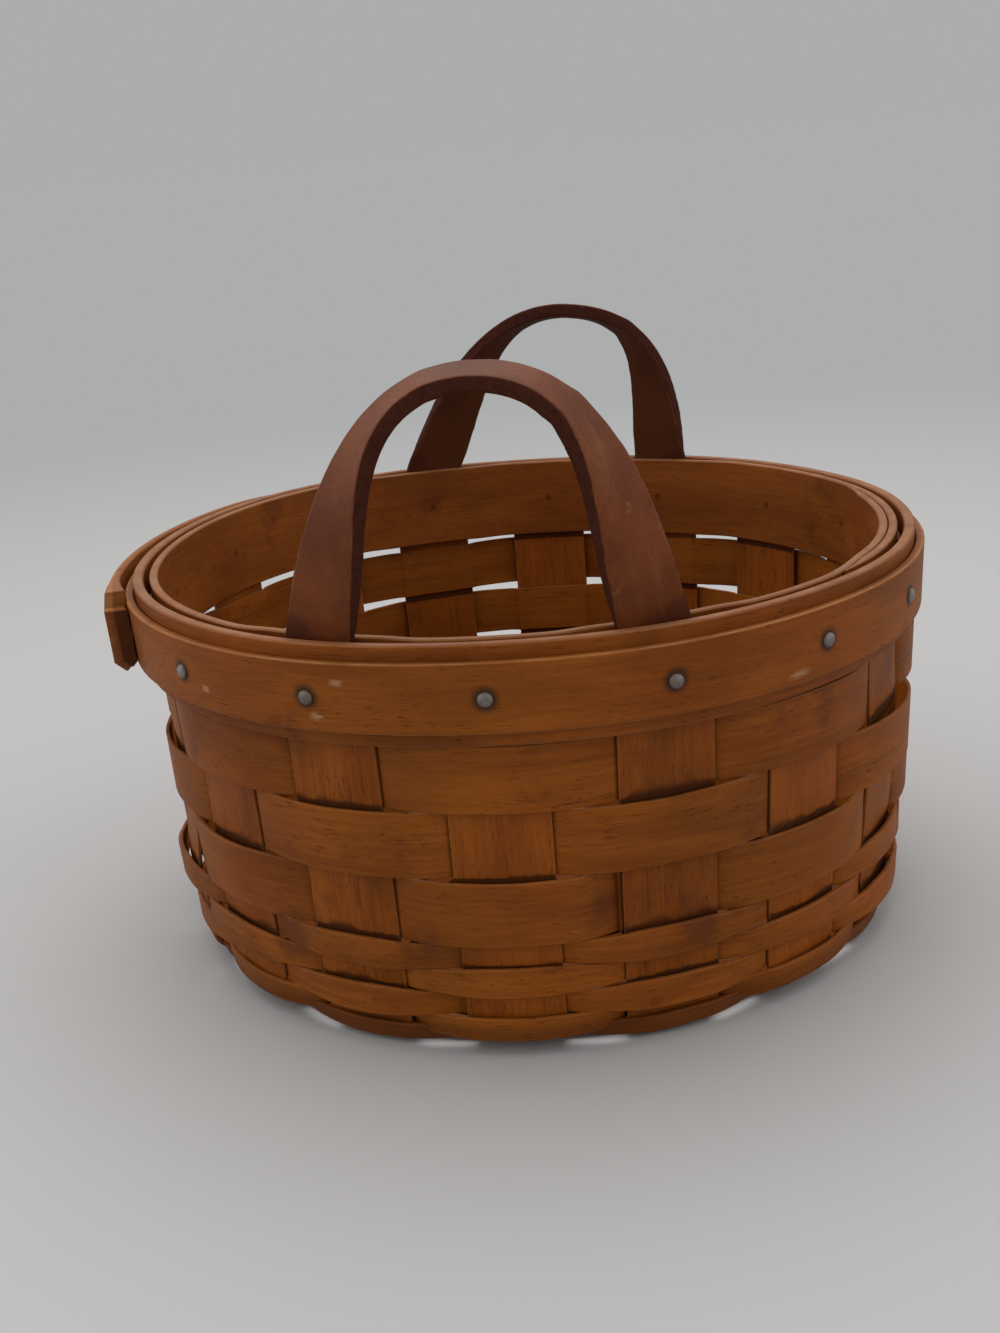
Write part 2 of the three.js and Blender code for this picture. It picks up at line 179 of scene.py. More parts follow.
class Tree:
    """Lays out the nodes of one tree, shader or geometry."""

    def __init__(self, tree):
        self.tree = tree

    def node(self, kind, inputs=None, **settings):
        made = self.tree.nodes.new(kind)
        for name, value in settings.items():
            setattr(made, name, value)
        for key, value in (inputs or {}).items():
            self.feed(made.inputs[key], value)
        return made

    def first(self, kind, inputs=None, **settings):
        """The first result of a new node."""
        return self.node(kind, inputs, **settings).outputs[0]

    def feed(self, socket, value):
        if isinstance(value, bpy.types.NodeSocket):
            self.tree.links.new(value, socket)
        else:
            socket.default_value = value

    def math(self, operation, *values):
        return self.first("ShaderNodeMath", dict(enumerate(values)), operation=operation)

    def plus(self, a, b):
        return self.math("ADD", a, b)

    def minus(self, a, b):
        return self.math("SUBTRACT", a, b)

    def times(self, a, b):
        return self.math("MULTIPLY", a, b)

    def times_plus(self, a, b, c):
        return self.math("MULTIPLY_ADD", a, b, c)

    def over(self, a, b):
        return self.math("DIVIDE", a, b)

    def combine(self, x, y, z):
        return self.first("ShaderNodeCombineXYZ", {0: x, 1: y, 2: z})

    def parts(self, vector):
        return self.node("ShaderNodeSeparateXYZ", {0: vector}).outputs

    def vector(self, operation, inputs, result=0):
        return self.node("ShaderNodeVectorMath", inputs, operation=operation).outputs[result]

    def ramp(self, value, low, high, to_low=0.0, to_high=1.0):
        inputs = {0: value, 1: low, 2: high, 3: to_low, 4: to_high}
        return self.first("ShaderNodeMapRange", inputs, interpolation_type="SMOOTHSTEP")

    def noise(self, vector, scale, detail=2.0, roughness=0.5, distortion=0.0):
        inputs = {"Vector": vector, "Scale": scale, "Detail": detail, "Roughness": roughness,
                  "Distortion": distortion}
        return self.node("ShaderNodeTexNoise", inputs).outputs["Fac"]

    def blend(self, share, a, b, way="MIX"):
        inputs = {0: share, 6: a, 7: b}
        return self.node("ShaderNodeMix", inputs, data_type="RGBA", blend_type=way).outputs[2]

    def attribute(self, name, result="Fac"):
        return self.node("ShaderNodeAttribute", attribute_name=name).outputs[result]

    def place(self):
        return self.node("ShaderNodeTexCoord").outputs["Object"]

    def blotches(self, name):
        """One of the cloudy patterns, all through a piece."""
        return self.noise(self.place(), *BLOTCHES[name])

    def strength(self, name, value):
        """How strong one of the marks is, for the value of its pattern or distance."""
        return self.ramp(value, *MARKS[name])

    def store(self, shape, name, value, kind="FLOAT"):
        """A shape with a value kept at each of its points."""
        inputs = {"Geometry": shape, "Name": name, "Value": value}
        return self.first("GeometryNodeStoreNamedAttribute", inputs, data_type=kind, domain="POINT")

    def stored(self, name, kind="FLOAT"):
        return self.first("GeometryNodeInputNamedAttribute", {"Name": name}, data_type=kind)

    def any_between(self, low, high, order, seed):
        inputs = {2: low, 3: high, "ID": order, "Seed": seed}
        return self.node("FunctionNodeRandomValue", inputs, data_type="FLOAT").outputs[1]


# Colours

def colour(red, green, blue):
    return (red, green, blue, 1.0)


# Dark of grain, dirt and dents, and of painted shade
DARK_GRAIN_AND_SHADE = colour(0.050, 0.0120, 0.0025)
# Grime and painted shade on the stakes
GRIME_AND_SHADE = colour(0.022, 0.0058, 0.0018)
WORN = colour(0.36, 0.155, 0.050)
RED_AGEING = colour(0.97, 0.84, 0.95)
OLD_STAIN = colour(0.068, 0.0155, 0.0055)
IRON_STAIN = colour(0.020, 0.012, 0.008)
BARE_WOOD = colour(0.40, 0.23, 0.13)

# Each kind of strip: pale, deep and rubbed
WEAVER_COLOURS = (colour(0.255, 0.072, 0.0068), colour(0.151, 0.038, 0.0030), WORN)
STAKE_COLOURS = (colour(0.268, 0.0725, 0.0072), colour(0.168, 0.0412, 0.0033), WORN)
BAND_COLOURS = (colour(0.257, 0.0725, 0.0072), colour(0.167, 0.043, 0.0035), colour(0.40, 0.19, 0.075))
LIP_COLOURS = (colour(0.240, 0.066, 0.0075), colour(0.150, 0.037, 0.0038), colour(0.258, 0.116, 0.053))

HIDE_DEEP = colour(0.095, 0.0215, 0.0042)
HIDE_PALE = colour(0.162, 0.042, 0.0100)
HIDE_PORE = colour(0.06, 0.0155, 0.005)
HIDE_STREAK = colour(0.215, 0.074, 0.025)
HIDE_SCRAPE = colour(0.26, 0.12, 0.065)
FLESH_DEEP = colour(0.043, 0.0112, 0.0042)
FLESH_PALE = colour(0.096, 0.0285, 0.0110)
RAW_DEEP = colour(0.028, 0.0070, 0.0040)
RAW_PALE = colour(0.072, 0.0225, 0.0132)
RUBBED_HIDE = colour(0.175, 0.062, 0.026)
DARK_CORNER_HIDE = colour(0.042, 0.0080, 0.0050)

STEEL_DARK = colour(0.15, 0.135, 0.122)
STEEL_PALE = colour(0.25, 0.232, 0.215)
RUST = colour(0.10, 0.052, 0.028)

# The floor is paler near the basket and darker far off, a painted fall-off of light
FLOOR_NEAR = colour(0.430, 0.424, 0.418)
FLOOR_FAR = colour(0.3115, 0.3158, 0.3158)
BACKDROP = colour(0.4127, 0.4186, 0.4186)
WHITE = colour(1, 1, 1)


# Patterns of the finishes

# Grain of a strip: how fine along and across, then detail, roughness and bending
GRAIN = {
    "fibre": ((60, 1100), 4.0, 0.62, 0.2),
    "figure": ((16, 95), 3.0, 0.5, 0.6),
    "pores": ((330, 2500), 2.0, 0.6),
    "flecked": ((45, 130), 2.0),
    "streak": ((120, 1300), 2.0, 0.55),
    "streak_patch": ((40, 60), 1.0),
    "scuff": ((170, 520), 3.0, 0.65),
    "brushed": ((45, 360), 4.0, 0.65),
}

# Cloudy patterns: how fine, detail and roughness
BLOTCHES = {
    "dirt": (60.0, 4.0, 0.6),
    "patchy": (38.0, 3.0, 0.55),
    "blush": (27.0, 2.0, 0.5),
    "rub": (160.0, 2.0),
    "strip_grime_and_shade": (62.0, 4.0, 0.62),
    "hide": (52.0, 5.0, 0.62),
    "hide_pores": (1500.0, 2.0, 0.6),
    "scrape": (130.0, 3.0, 0.6),
    "fray": (420.0, 3.0, 0.65),
    "raw": (700.0, 3.0, 0.7),
    "rubbed_corner": (95.0, 3.0, 0.6),
    "dark_foot_corner": (160.0, 4.0, 0.65),
    "hide_fibre": (900.0, 3.0, 0.7),
    "spots": (900.0, 3.0, 0.65),
    "rust": (30.0, 1.0),
}

# Marks: the values at which each starts and is full, then its strength at those two
MARKS = {
    "body": (0.38, 0.84),
    "patchy": (0.3, 0.7, 0.9, 1.1),
    "painted_inside_light": (-0.0003, -0.0001, 1.2, 1.0),
    "blush": (0.48, 0.7, 0.0, 0.5),
    "dash": (0.58, 0.70),
    "flecked": (0.35, 0.65, 0.22, 0.65),
    "streak": (0.57, 0.70),
    "streak_patch": (0.47, 0.62),
    "dirt": (0.56, 0.74, 0.0, 0.42),
    "near_ground_dark": (0.0085, 0.0055, 0.0, 0.40),
    "painted_tuck_shade": (-0.4, -1.0, 0.0, 0.35),
    "grime_shade_rise": (0.40, 0.66, 0.0003, 0.0032),
    "grime_shade_fade": (1.0, 0.1, 0.0, 0.8),
    "outer_corner": (0.0, 0.0008, 0.2, 1.0),
    "edge": (0.955, 1.0),
    "rub": (0.38, 0.62, 0.45, 0.8),
    "scuff": (0.725, 0.80, 0.0, 0.5),
    "iron": (0.0034, 0.0015, 0.0, 0.8),
    "bare": (1.6, 0.8, 0.0, 0.6),
    "dent": (0.0013, 0.0005, 0.0, 0.65),
    "hide": (0.3, 0.72),
    "hide_pores": (0.52, 0.72, 0.0, 0.35),
    "brushed": (0.55, 0.78, 0.0, 0.45),
    "scrape": (0.66, 0.76, 0.0, 0.4),
    "flesh_side": (-0.0002, 0.0002, 1.0, 0.0),
    "cut_side": (0.40, 0.62),
    "corner_start": (0.0, 0.25),
    "corner_end": (0.75, 0.4),
    "rubbed_corner": (0.38, 0.62, 0.0, 0.55),
    "dark_foot_corner": (0.0046, 0.0016, 0.0, 0.6),
    "spots": (0.4, 0.65),
    "rust": (0.46, 0.62, 0.05, 0.75),
    "painted_floor_falloff": (0.12, 0.85),
}

# Marks of use: stains on the wall and rubs on the outer band, as angle, height and reach
STAINS = ((-34.5, 21.5, 6), (-11.7, 23.3, 7), (13.5, 31, 7), (68, 63, 8), (25.5, 27, 6))
RUBS = ((-18, 82.6, 2.2), (-21.4, 75.4, 2.2), (40, 74.3, 4.0), (-40, 77, 1.6))
STAIN_OUT = 1.5
STAIN_RAGGED = 0.026
STAIN_START = 1.2
STAIN_FULL = 0.2
STAIN_STRENGTH = 0.55
RUB_HEIGHT = 1.1
RUB_RAGGED = 1.3
GRIME_SHADE_TUCK = 2
DENT_STRAY = 0.005
BROKEN_DARK = 0.8
BAND_MIDDLE = OUTER_BAND_TOP - OUTER_BAND_HEIGHT / 2

# Wood: shares of fibre and figure, range of tones, roughness, sheen, relief and usual wear
GRAIN_SHIFT = 43.0
FIBRE_SHARE = 0.5
FIGURE_SHARE = 0.7
TONE_RANGE = (0.2, 0.9)
FIBRE_ROUGH = (0.22, 0.42)
DASH_ROUGH = 0.12
DASH_DEPTH = 0.6
WOOD_SHEEN = 0.10
WOOD_RELIEF = (0.35, 0.00016)
STRIP_WEAR = 0.3

# Leather: ragged border, darker foot corner, roughness, sheen and relief
FRAY = (0.9, -0.45)
DARK_CORNER_SLANT = (0.30, 0.0004)
DARK_CORNER_RAGGED = 0.006
HIDE_ROUGH = (0.25, 0.40)
RAW_ROUGH = 0.3
HIDE_SHEEN = (-0.085, 0.13)
RAW_DEPTH = (2.2, 0.5)
HIDE_RELIEF = (0.4, 0.00025)

# Steel: share of spots in the rust, roughness, metal share and relief
RUST_SPOTS = 0.5
STEEL_ROUGH = (0.3, 0.36)
STEEL_METAL = 0.75
STEEL_RELIEF = (0.3, 0.0001)


# Finishes

def start_finish(name):
    finish = bpy.data.materials.new(name)
    finish.use_nodes = True
    shader = finish.node_tree.nodes["Principled BSDF"]
    return finish, Tree(finish.node_tree), shader


def lay_on(tree, shader, tint, rough, relief, strength, depth):
    """Gives a finish its colour, its roughness and its fine relief."""
    tree.feed(shader.inputs["Base Color"], tint)
    tree.feed(shader.inputs["Roughness"], rough)
    bump = tree.first("ShaderNodeBump", {"Strength": strength, "Distance": depth, "Height": relief})
    tree.feed(shader.inputs["Normal"], bump)


def grain_of(tree):
    """Along, across and depth of a strip in metres, and the tone of the piece."""
    along, across, depth = tree.parts(tree.attribute("grain", "Vector"))
    return along, across, depth, tree.attribute("tone")


def drawn_out(tree, name, along, across, shift):
    """One of the grain patterns, drawn out along a strip."""
    (by_along, by_across), *ways = GRAIN[name]
    spot = tree.combine(tree.times(along, by_along), tree.times(across, by_across), shift)
    return tree.noise(spot, 1.0, *ways)


def old_stain(tree, dirt):
    """How far a surface is darkened by the few large stains on the front of the wall."""
    place = tree.place()
    border = STAIN_RAGGED / 2
    total = 0.0
    for angle, height, reach in STAINS:
        middle = at(math.radians(angle), wall_radius(height) + STAIN_OUT, height) * MM
        gap = tree.vector("DISTANCE", {0: place, 1: middle}, "Value")
        gap = tree.times_plus(dirt, STAIN_RAGGED, gap)
        mark = tree.ramp(gap, reach * STAIN_START * MM + border, reach * STAIN_FULL * MM + border)
        total = tree.math("MAXIMUM", mark, total)
    return tree.times(total, STAIN_STRENGTH)


def tack_gap(tree, along, across, stray):
    """Distance from the nearest tack, in metres, along a band."""
    pitch = STAKE_PITCH * TACK_FACE * MM
    step = tree.over(along, pitch)
    cell = tree.math("ROUND", step)
    chance = tree.node("ShaderNodeTexWhiteNoise", {"W": cell}, noise_dimensions="1D").outputs["Value"]
    off = tree.times(tree.minus(step, cell), pitch)
    off = tree.times_plus(chance, stray, tree.minus(off, stray / 2))
    return tree.math("SQRT", tree.plus(tree.times(off, off), tree.times(across, across)))


def strip_grime_and_shade(tree, levels):
    """Grime and painted shade on a stake just above each strip that passes in front of it."""
    height = tree.parts(tree.place())[2]
    rise = tree.strength("grime_shade_rise", tree.blotches("strip_grime_and_shade"))
    total = 0.0
    for level in levels:
        above = tree.minus(height, level * MM)
        fade = tree.strength("grime_shade_fade", tree.over(above, rise))
        near = tree.times(fade, tree.math("GREATER_THAN", above, -GRIME_SHADE_TUCK * MM))
        total = tree.math("MAXIMUM", near, total)
    return total


def band_marks(tree, tint, along, across, pores):
    """Iron stain round each tack, a few places rubbed pale, and the dark of a broken end."""
    last_tack = (LAP_TACK + 0.5) * STAKE_PITCH * TACK_FACE * MM
    ring = tree.strength("iron", tack_gap(tree, along, across, 0.0))
    tint = tree.blend(tree.times(ring, tree.math("LESS_THAN", along, last_tack)), tint, IRON_STAIN)
    for angle, height, length in RUBS:
        x = tree.over(tree.minus(along, math.radians(angle) * TACK_FACE * MM), length * MM)
        y = tree.over(tree.minus(across, (height - BAND_MIDDLE) * MM), RUB_HEIGHT * MM)
        far = tree.math("SQRT", tree.times_plus(x, x, tree.times(y, y)))
        bare = tree.strength("bare", tree.times_plus(pores, RUB_RAGGED, far))
        tint = tree.blend(bare, tint, BARE_WOOD)
    return tree.blend(tree.times(tree.attribute("broken_end"), BROKEN_DARK), tint, DARK_GRAIN_AND_SHADE)


def wood(name, colours, width, wear=STRIP_WEAR, streaks=0.0, tacked=False, dented=False, stained=False,
         grime_and_shade=()):
    """The finish of one kind of strip, with the marks that its place in the basket has left, and painted
    shade where strips cross.
    """
    pale, deep, worn = colours
    finish, tree, shader = start_finish(name)
    along, across, depth, tone = grain_of(tree)
    shift = tree.times(tone, GRAIN_SHIFT)

    def grain(pattern):
        return drawn_out(tree, pattern, along, across, shift)

    def marked(pattern):
        return tree.strength(pattern, grain(pattern))

    # The body of the wood, with the shade of this strip
    fibre = grain("fibre")
    pores = grain("pores")
    dirt = tree.blotches("dirt")
    body = tree.times_plus(fibre, FIBRE_SHARE, tree.times(grain("figure"), FIGURE_SHARE))
    tint = tree.blend(tree.strength("body", body), deep, pale)
    shade = tree.times_plus(tone, *TONE_RANGE)
    shade = tree.times(shade, tree.strength("patchy", tree.blotches("patchy")))
    if stained:
        # Painted light: the inner faces are made lighter, against the shade inside the basket
        shade = tree.times(shade, tree.strength("painted_inside_light", depth))
    tint = tree.blend(1.0, tint, tree.combine(shade, shade, shade), "MULTIPLY")
    # Some patches have aged redder
    redder = tree.blend(1.0, tint, RED_AGEING, "MULTIPLY")
    tint = tree.blend(tree.strength("blush", tree.blotches("blush")), tint, redder)
    dash = tree.strength("dash", pores)
    tint = tree.blend(tree.times(dash, marked("flecked")), tint, DARK_GRAIN_AND_SHADE)
    if streaks:
        run = tree.times(marked("streak"), marked("streak_patch"))
        tint = tree.blend(tree.times(run, streaks), tint, DARK_GRAIN_AND_SHADE)
    # Old dirt lies in a few broad patches
    tint = tree.blend(tree.strength("dirt", dirt), tint, DARK_GRAIN_AND_SHADE)
    if stained:
        tint = tree.blend(old_stain(tree, dirt), tint, OLD_STAIN)
        # The wall is darker towards the bottom, next to the ground
        height = tree.parts(tree.place())[2]
        tint = tree.blend(tree.strength("near_ground_dark", height), tint, DARK_GRAIN_AND_SHADE)
    # Painted shade darkens a strip where it goes behind another
    shown = tree.times(tree.attribute("swing"), tree.math("SIGN", depth))
    tint = tree.blend(tree.strength("painted_tuck_shade", shown), tint, DARK_GRAIN_AND_SHADE)
    # Grime and painted shade on the stakes above the strips in front of them
    if grime_and_shade:
        tint = tree.blend(strip_grime_and_shade(tree, grime_and_shade), tint, GRIME_AND_SHADE)
    # The edges are rubbed to paler wood
    edge = tree.over(tree.math("ABSOLUTE", across), width / 2 * MM)
    rub = tree.times(tree.strength("rub", tree.blotches("rub")), wear)
    if tacked:
        rub = tree.times(rub, tree.strength("outer_corner", depth))
    tint = tree.blend(tree.times(tree.strength("edge", edge), rub), tint, worn)
    tint = tree.blend(marked("scuff"), tint, worn)
    if tacked:
        tint = band_marks(tree, tint, along, across, pores)
    if dented:
        # Tack points show as dark dents on the inside
        dent = tree.strength("dent", tack_gap(tree, along, across, DENT_STRAY))
        tint = tree.blend(tree.times(dent, tree.math("LESS_THAN", depth, 0.0)), tint, DARK_GRAIN_AND_SHADE)
    rough = tree.times_plus(dash, DASH_ROUGH, tree.times_plus(fibre, *FIBRE_ROUGH))
    relief = tree.minus(fibre, tree.times(dash, DASH_DEPTH))
    lay_on(tree, shader, tint, rough, relief, *WOOD_RELIEF)
    shader.inputs["Specular IOR Level"].default_value = WOOD_SHEEN
    return finish


def strap_leather():
    finish, tree, shader = start_finish("ear_leather")
    along, across, depth, tone = grain_of(tree)
    cut = tree.attribute("cut")
    hide = tree.blotches("hide")
    pores = tree.blotches("hide_pores")
    face = tree.blend(tree.strength("hide", hide), HIDE_DEEP, HIDE_PALE)
    face = tree.blend(tree.strength("hide_pores", pores), face, HIDE_PORE)
    brushed = drawn_out(tree, "brushed", along, across, tone)
    face = tree.blend(tree.strength("brushed", brushed), face, HIDE_STREAK)
    face = tree.blend(tree.strength("scrape", tree.blotches("scrape")), face, HIDE_SCRAPE)
    # The flesh side is darker than the grain side
    under = tree.strength("flesh_side", depth)
    face = tree.blend(under, face, tree.blend(hide, FLESH_DEEP, FLESH_PALE))
    # Raw cut sides are dark, with a ragged border
    fray = tree.times_plus(tree.blotches("fray"), *FRAY)
    side = tree.strength("cut_side", tree.plus(cut, fray))
    tint = tree.blend(side, face, tree.blend(tree.blotches("raw"), RAW_DEEP, RAW_PALE))
    # The corners between face and cut side are rubbed paler here and there
    corner = tree.times(tree.strength("corner_start", cut), tree.strength("corner_end", cut))
    rubbed = tree.strength("rubbed_corner", tree.blotches("rubbed_corner"))
    tint = tree.blend(tree.times(corner, rubbed), tint, RUBBED_HIDE)
    # The outer corner of each foot is darker
    dark_foot_corner = tree.minus(tree.attribute("foot"), tree.times_plus(across, *DARK_CORNER_SLANT))
    dark_foot_corner = tree.times_plus(tree.blotches("dark_foot_corner"), DARK_CORNER_RAGGED, dark_foot_corner)
    tint = tree.blend(tree.strength("dark_foot_corner", dark_foot_corner), tint, DARK_CORNER_HIDE)
    raw = tree.math("MAXIMUM", side, under)
    rough = tree.times_plus(raw, RAW_ROUGH, tree.times_plus(pores, *HIDE_ROUGH))
    relief = tree.times(tree.blotches("hide_fibre"), tree.times_plus(side, *RAW_DEPTH))
    lay_on(tree, shader, tint, rough, relief, *HIDE_RELIEF)
    tree.feed(shader.inputs["Specular IOR Level"], tree.times_plus(raw, *HIDE_SHEEN))
    return finish


def dull_steel():
    finish, tree, shader = start_finish("tack_steel")
    spots = tree.blotches("spots")
    tint = tree.blend(tree.strength("spots", spots), STEEL_DARK, STEEL_PALE)
    aged = tree.times_plus(tree.blotches("rust"), 1 - RUST_SPOTS, tree.times(spots, RUST_SPOTS))
    tint = tree.blend(tree.strength("rust", aged), tint, RUST)
    lay_on(tree, shader, tint, tree.times_plus(spots, *STEEL_ROUGH), spots, *STEEL_RELIEF)
    shader.inputs["Metallic"].default_value = STEEL_METAL
    return finish


# Grime and painted shade sit a little higher above the narrow rows
FOOT_GRIME_AND_SHADE = 0.5

# How streaked and how worn each kind of strip is
STAKE_STREAKS = 0.5
BAND_WEAR = 0.8
LIP_WEAR = 1.0
row_tops = [wall_top - i * wide_pitch for i in range(WIDE_ROWS)]
row_tops += [wall_top - WIDE_ROWS * wide_pitch - i * NARROW_PITCH + FOOT_GRIME_AND_SHADE for i in range(FOOT_ROWS)]

wide_wood = wood("weaver_wood_wide", WEAVER_COLOURS, wide_width, stained=True)
narrow_wood = wood("weaver_wood_narrow", WEAVER_COLOURS, narrow_width, stained=True)
stake_woods = [wood(f"splint_wood_{i + 1}", STAKE_COLOURS, SPLINT_WIDTH, streaks=STAKE_STREAKS, stained=True,
                    grime_and_shade=row_tops[i::2]) for i in range(2)]
band_wood = wood("band_wood", BAND_COLOURS, OUTER_BAND_HEIGHT, wear=BAND_WEAR, tacked=True)
hoop_wood = wood("hoop_wood", LIP_COLOURS, BAND_DEPTH, wear=LIP_WEAR)
inner_wood = wood("inner_band_wood", LIP_COLOURS, BAND_DEPTH, wear=LIP_WEAR, dented=True)
leather = strap_leather()
steel = dull_steel()


# Meshes made of rings

# Angles from which an edge stays sharp, in degrees
STRIP_SHARP = 30
STRAP_SHARP = 60


def strip_section(width, thick, chamfer, pieces=1, low_chamfer=None):
    """Points round a flat strip's cross-section, as (across, depth)."""
    half, deep = width / 2, thick / 2
    low = chamfer if low_chamfer is None else low_chamfer
    steps = [-half + low + (width - chamfer - low) * i / pieces for i in range(pieces + 1)]
    face = [(a, deep) for a in steps]
    back = [(a, -deep) for a in reversed(steps)]
    upper_edge = [(half, deep - chamfer), (half, -deep + chamfer)]
    lower_edge = [(-half, -deep + low), (-half, deep - low)]
    return face + upper_edge + back + lower_edge


def ring_mesh(name, rings, grains, closed=False, extras=None, sharp=STRIP_SHARP):
    """A closed skin over rings of points in millimetres, with its grain kept as an attribute."""
    sides = len(rings[0])
    count = len(rings)
    points = [tuple(p * MM) for ring in rings for p in ring]
    faces = []
    for i in range(count if closed else count - 1):
        j = (i + 1) % count
        for k in range(sides):
            m = (k + 1) % sides
            faces.append((i * sides + k, i * sides + m, j * sides + m, j * sides + k))
    if not closed:
        faces.append(tuple(reversed(range(sides))))
        faces.append(tuple((count - 1) * sides + k for k in range(sides)))
    mesh = bpy.data.meshes.new(name)
    mesh.from_pydata(points, [], faces)
    mesh.update()
    volume = sum(p.area * p.normal.dot(p.center) for p in mesh.polygons)
    if volume < 0:
        mesh.flip_normals()
    layer = mesh.attributes.new("grain", "FLOAT_VECTOR", "POINT")
    layer.data.foreach_set("vector", [c * MM for ring in grains for g in ring for c in g])
    for label, values in (extras or {}).items():
        extra = mesh.attributes.new(label, "FLOAT", "POINT")
        extra.data.foreach_set("value", values)
    return finish_mesh(mesh, sharp)


def finish_mesh(mesh, sharp=STRIP_SHARP):
    mesh.polygons.foreach_set("use_smooth", [True] * len(mesh.polygons))
    mesh.set_sharp_from_angle(angle=math.radians(sharp))
    piece = bpy.data.objects.new(mesh.name, mesh)
    bpy.context.scene.collection.objects.link(piece)
    return piece


def set_even(piece, label, value):
    """The same value of an attribute all over a piece."""
    layer = piece.data.attributes.new(label, "FLOAT", "POINT")
    layer.data.foreach_set("value", [value] * len(piece.data.vertices))


def keep(piece, finish, slot, *nodes):
    if finish:
        piece.data.materials.clear()
        piece.data.materials.append(finish)
    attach(piece, "root")
    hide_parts(*nodes)


TONE_SEED = 7
tones = random.Random(TONE_SEED)


# Splints: up one wall, under the base and up the other

# Two stakes to a splint, and the steps of its run
SPLINTS = STAKES // 2
SPLINT_FACE_STEPS = 6
WALL_STEPS = 30
CORNER_STEPS = 12
BASE_STEPS = 10
STAR_STEPS = 4


def splint_profile(level):
    """Half of a splint's run as (radius, height, slope), slope 0 on the wall and 1 on the base."""
    star_rise = level * STAR_PITCH
    run = []
    for i in range(WALL_STEPS + 1):
        height = mix(SPLINT_TOP, FOOT_HEIGHT, i / WALL_STEPS)
        run.append((wall_radius(height), height, 0.0))
    for i in range(1, CORNER_STEPS + 1):
        share = i / CORNER_STEPS
        radius, height = on_corner(share)[:2]
        run.append((radius, height, share))
    for i in range(1, BASE_STEPS + 1):
        run.append((mix(CORNER_MIDDLE, STAR_OUTER, i / BASE_STEPS), BASE_LEVEL, 1.0))
    for i in range(1, BASE_STEPS + 1):
        share = i / BASE_STEPS
        run.append((mix(STAR_OUTER, STAR_INNER, share), BASE_LEVEL + star_rise * smooth(share), 1.0))
    for i in range(1, STAR_STEPS + 1):
        run.append((STAR_INNER * (1 - i / STAR_STEPS), BASE_LEVEL + star_rise, 1.0))
    return run


def splint_width(radius):
    share = (radius - STAR_OUTER) / (FOOT_RADIUS - STAR_OUTER)
    return mix(SPLINT_WAIST, SPLINT_WIDTH, min(max(share, 0), 1))


def splint(index):
    angle = index * STAKE_PITCH
    # Every other splint lies in the upper half of the star
    level = (index % 2) * (SPLINTS // 2) + index // 2
    half = splint_profile(level)
    run = half + [(-r, z, s) for r, z, s in reversed(half[:-1])]
    rings, grains = [], []
    along = 0.0
    for i, (radius, height, slope) in enumerate(run):
        before, after = run[max(i - 1, 0)], run[min(i + 1, len(run) - 1)]
        heading = Vector((after[0] - before[0], after[1] - before[1])).normalized()
        out = Vector((-heading.y, heading.x))
        if i:
            along += math.hypot(radius - run[i - 1][0], height - run[i - 1][1])
        section = strip_section(splint_width(abs(radius)), SPLINT_THICK, SPLINT_CHAMFER, SPLINT_FACE_STEPS)
        stake = angle if radius > 0 else angle + math.pi
        swelled = math.copysign(wall_swell(stake, height) * (1 - smooth(slope)), radius)
        ring = []
        for across, depth in section:
            r, z = radius + swelled + out.x * depth, height + out.y * depth
            flat = at(angle, r, z, across)
            bent = at(angle + across / radius, r, z) if slope < 1 else flat
            ring.append(bent.lerp(flat, smooth(slope)))
        rings.append(ring)
        grains.append([(along, a, d) for a, d in section])
    piece = ring_mesh(f"splint_{index + 1}_wood", rings, grains)
    set_even(piece, "tone", tones.random())
    set_even(piece, "swing", 0.0)
    keep(piece, stake_woods[index % 2], "splint_wood", f"splint_{index + 1}")


for index in range(SPLINTS):
    splint(index)


# Shapes grown by geometry trees

def start_growth(name, result, **inputs):
    """An empty geometry tree with its named inputs, listed by kind."""
    group = bpy.data.node_groups.new(name, "GeometryNodeTree")
    for kind, labels in inputs.items():
        for label in labels:
            group.interface.new_socket(label, in_out="INPUT", socket_type="NodeSocket" + kind)
    group.interface.new_socket(result, in_out="OUTPUT", socket_type="NodeSocketGeometry")
    tree = Tree(group)
    return group, tree, tree.node("NodeGroupInput").outputs


def end_growth(tree, shape, finish):
    whole = tree.first("GeometryNodeRealizeInstances", {"Geometry": shape})
    dressed = tree.first("GeometryNodeSetMaterial", {"Geometry": whole, "Material": finish})
    tree.node("NodeGroupOutput", {0: dressed})


def grown(name, group, values):
    """Runs a geometry tree with the given sizes and keeps its result as a plain mesh."""
    seed = bpy.data.objects.new(name + "_seed", bpy.data.meshes.new(name + "_seed"))
    bpy.context.scene.collection.objects.link(seed)
    grower = seed.modifiers.new("grow", "NODES")
    grower.node_group = group
    for item in group.interface.items_tree:
        if item.in_out == "INPUT" and item.name in values:
            grower[item.identifier] = values[item.name]
    bpy.context.view_layer.update()
    ready = seed.evaluated_get(bpy.context.evaluated_depsgraph_get())
    mesh = bpy.data.meshes.new_from_object(ready)
    mesh.name = name
    seed.modifiers.remove(grower)
    bpy.data.objects.remove(seed)
    for spare in ("along", "section"):
        if spare in mesh.attributes:
            mesh.attributes.remove(mesh.attributes[spare])
    return finish_mesh(mesh)


# Weavers: one geometry tree swings a flat strip in front of and behind the stakes

# Where an end laps, in stakes before the full turn, and how far it steps in, in thicknesses
LAP_START = 0.62
LAP_FULL = 0.34
LAP_STEP = 1.12

# How fast a strip wanders, its corners in thicknesses, where it is pinched, and how fine its lumps are
WANDER_PACE = 0.55
WEAVER_CHAMFER = 0.22
PINCH = (0.48, 0.85)
LUMP_SCALE = 85.0
HALF_GREY = (0.5, 0.5, 0.5)


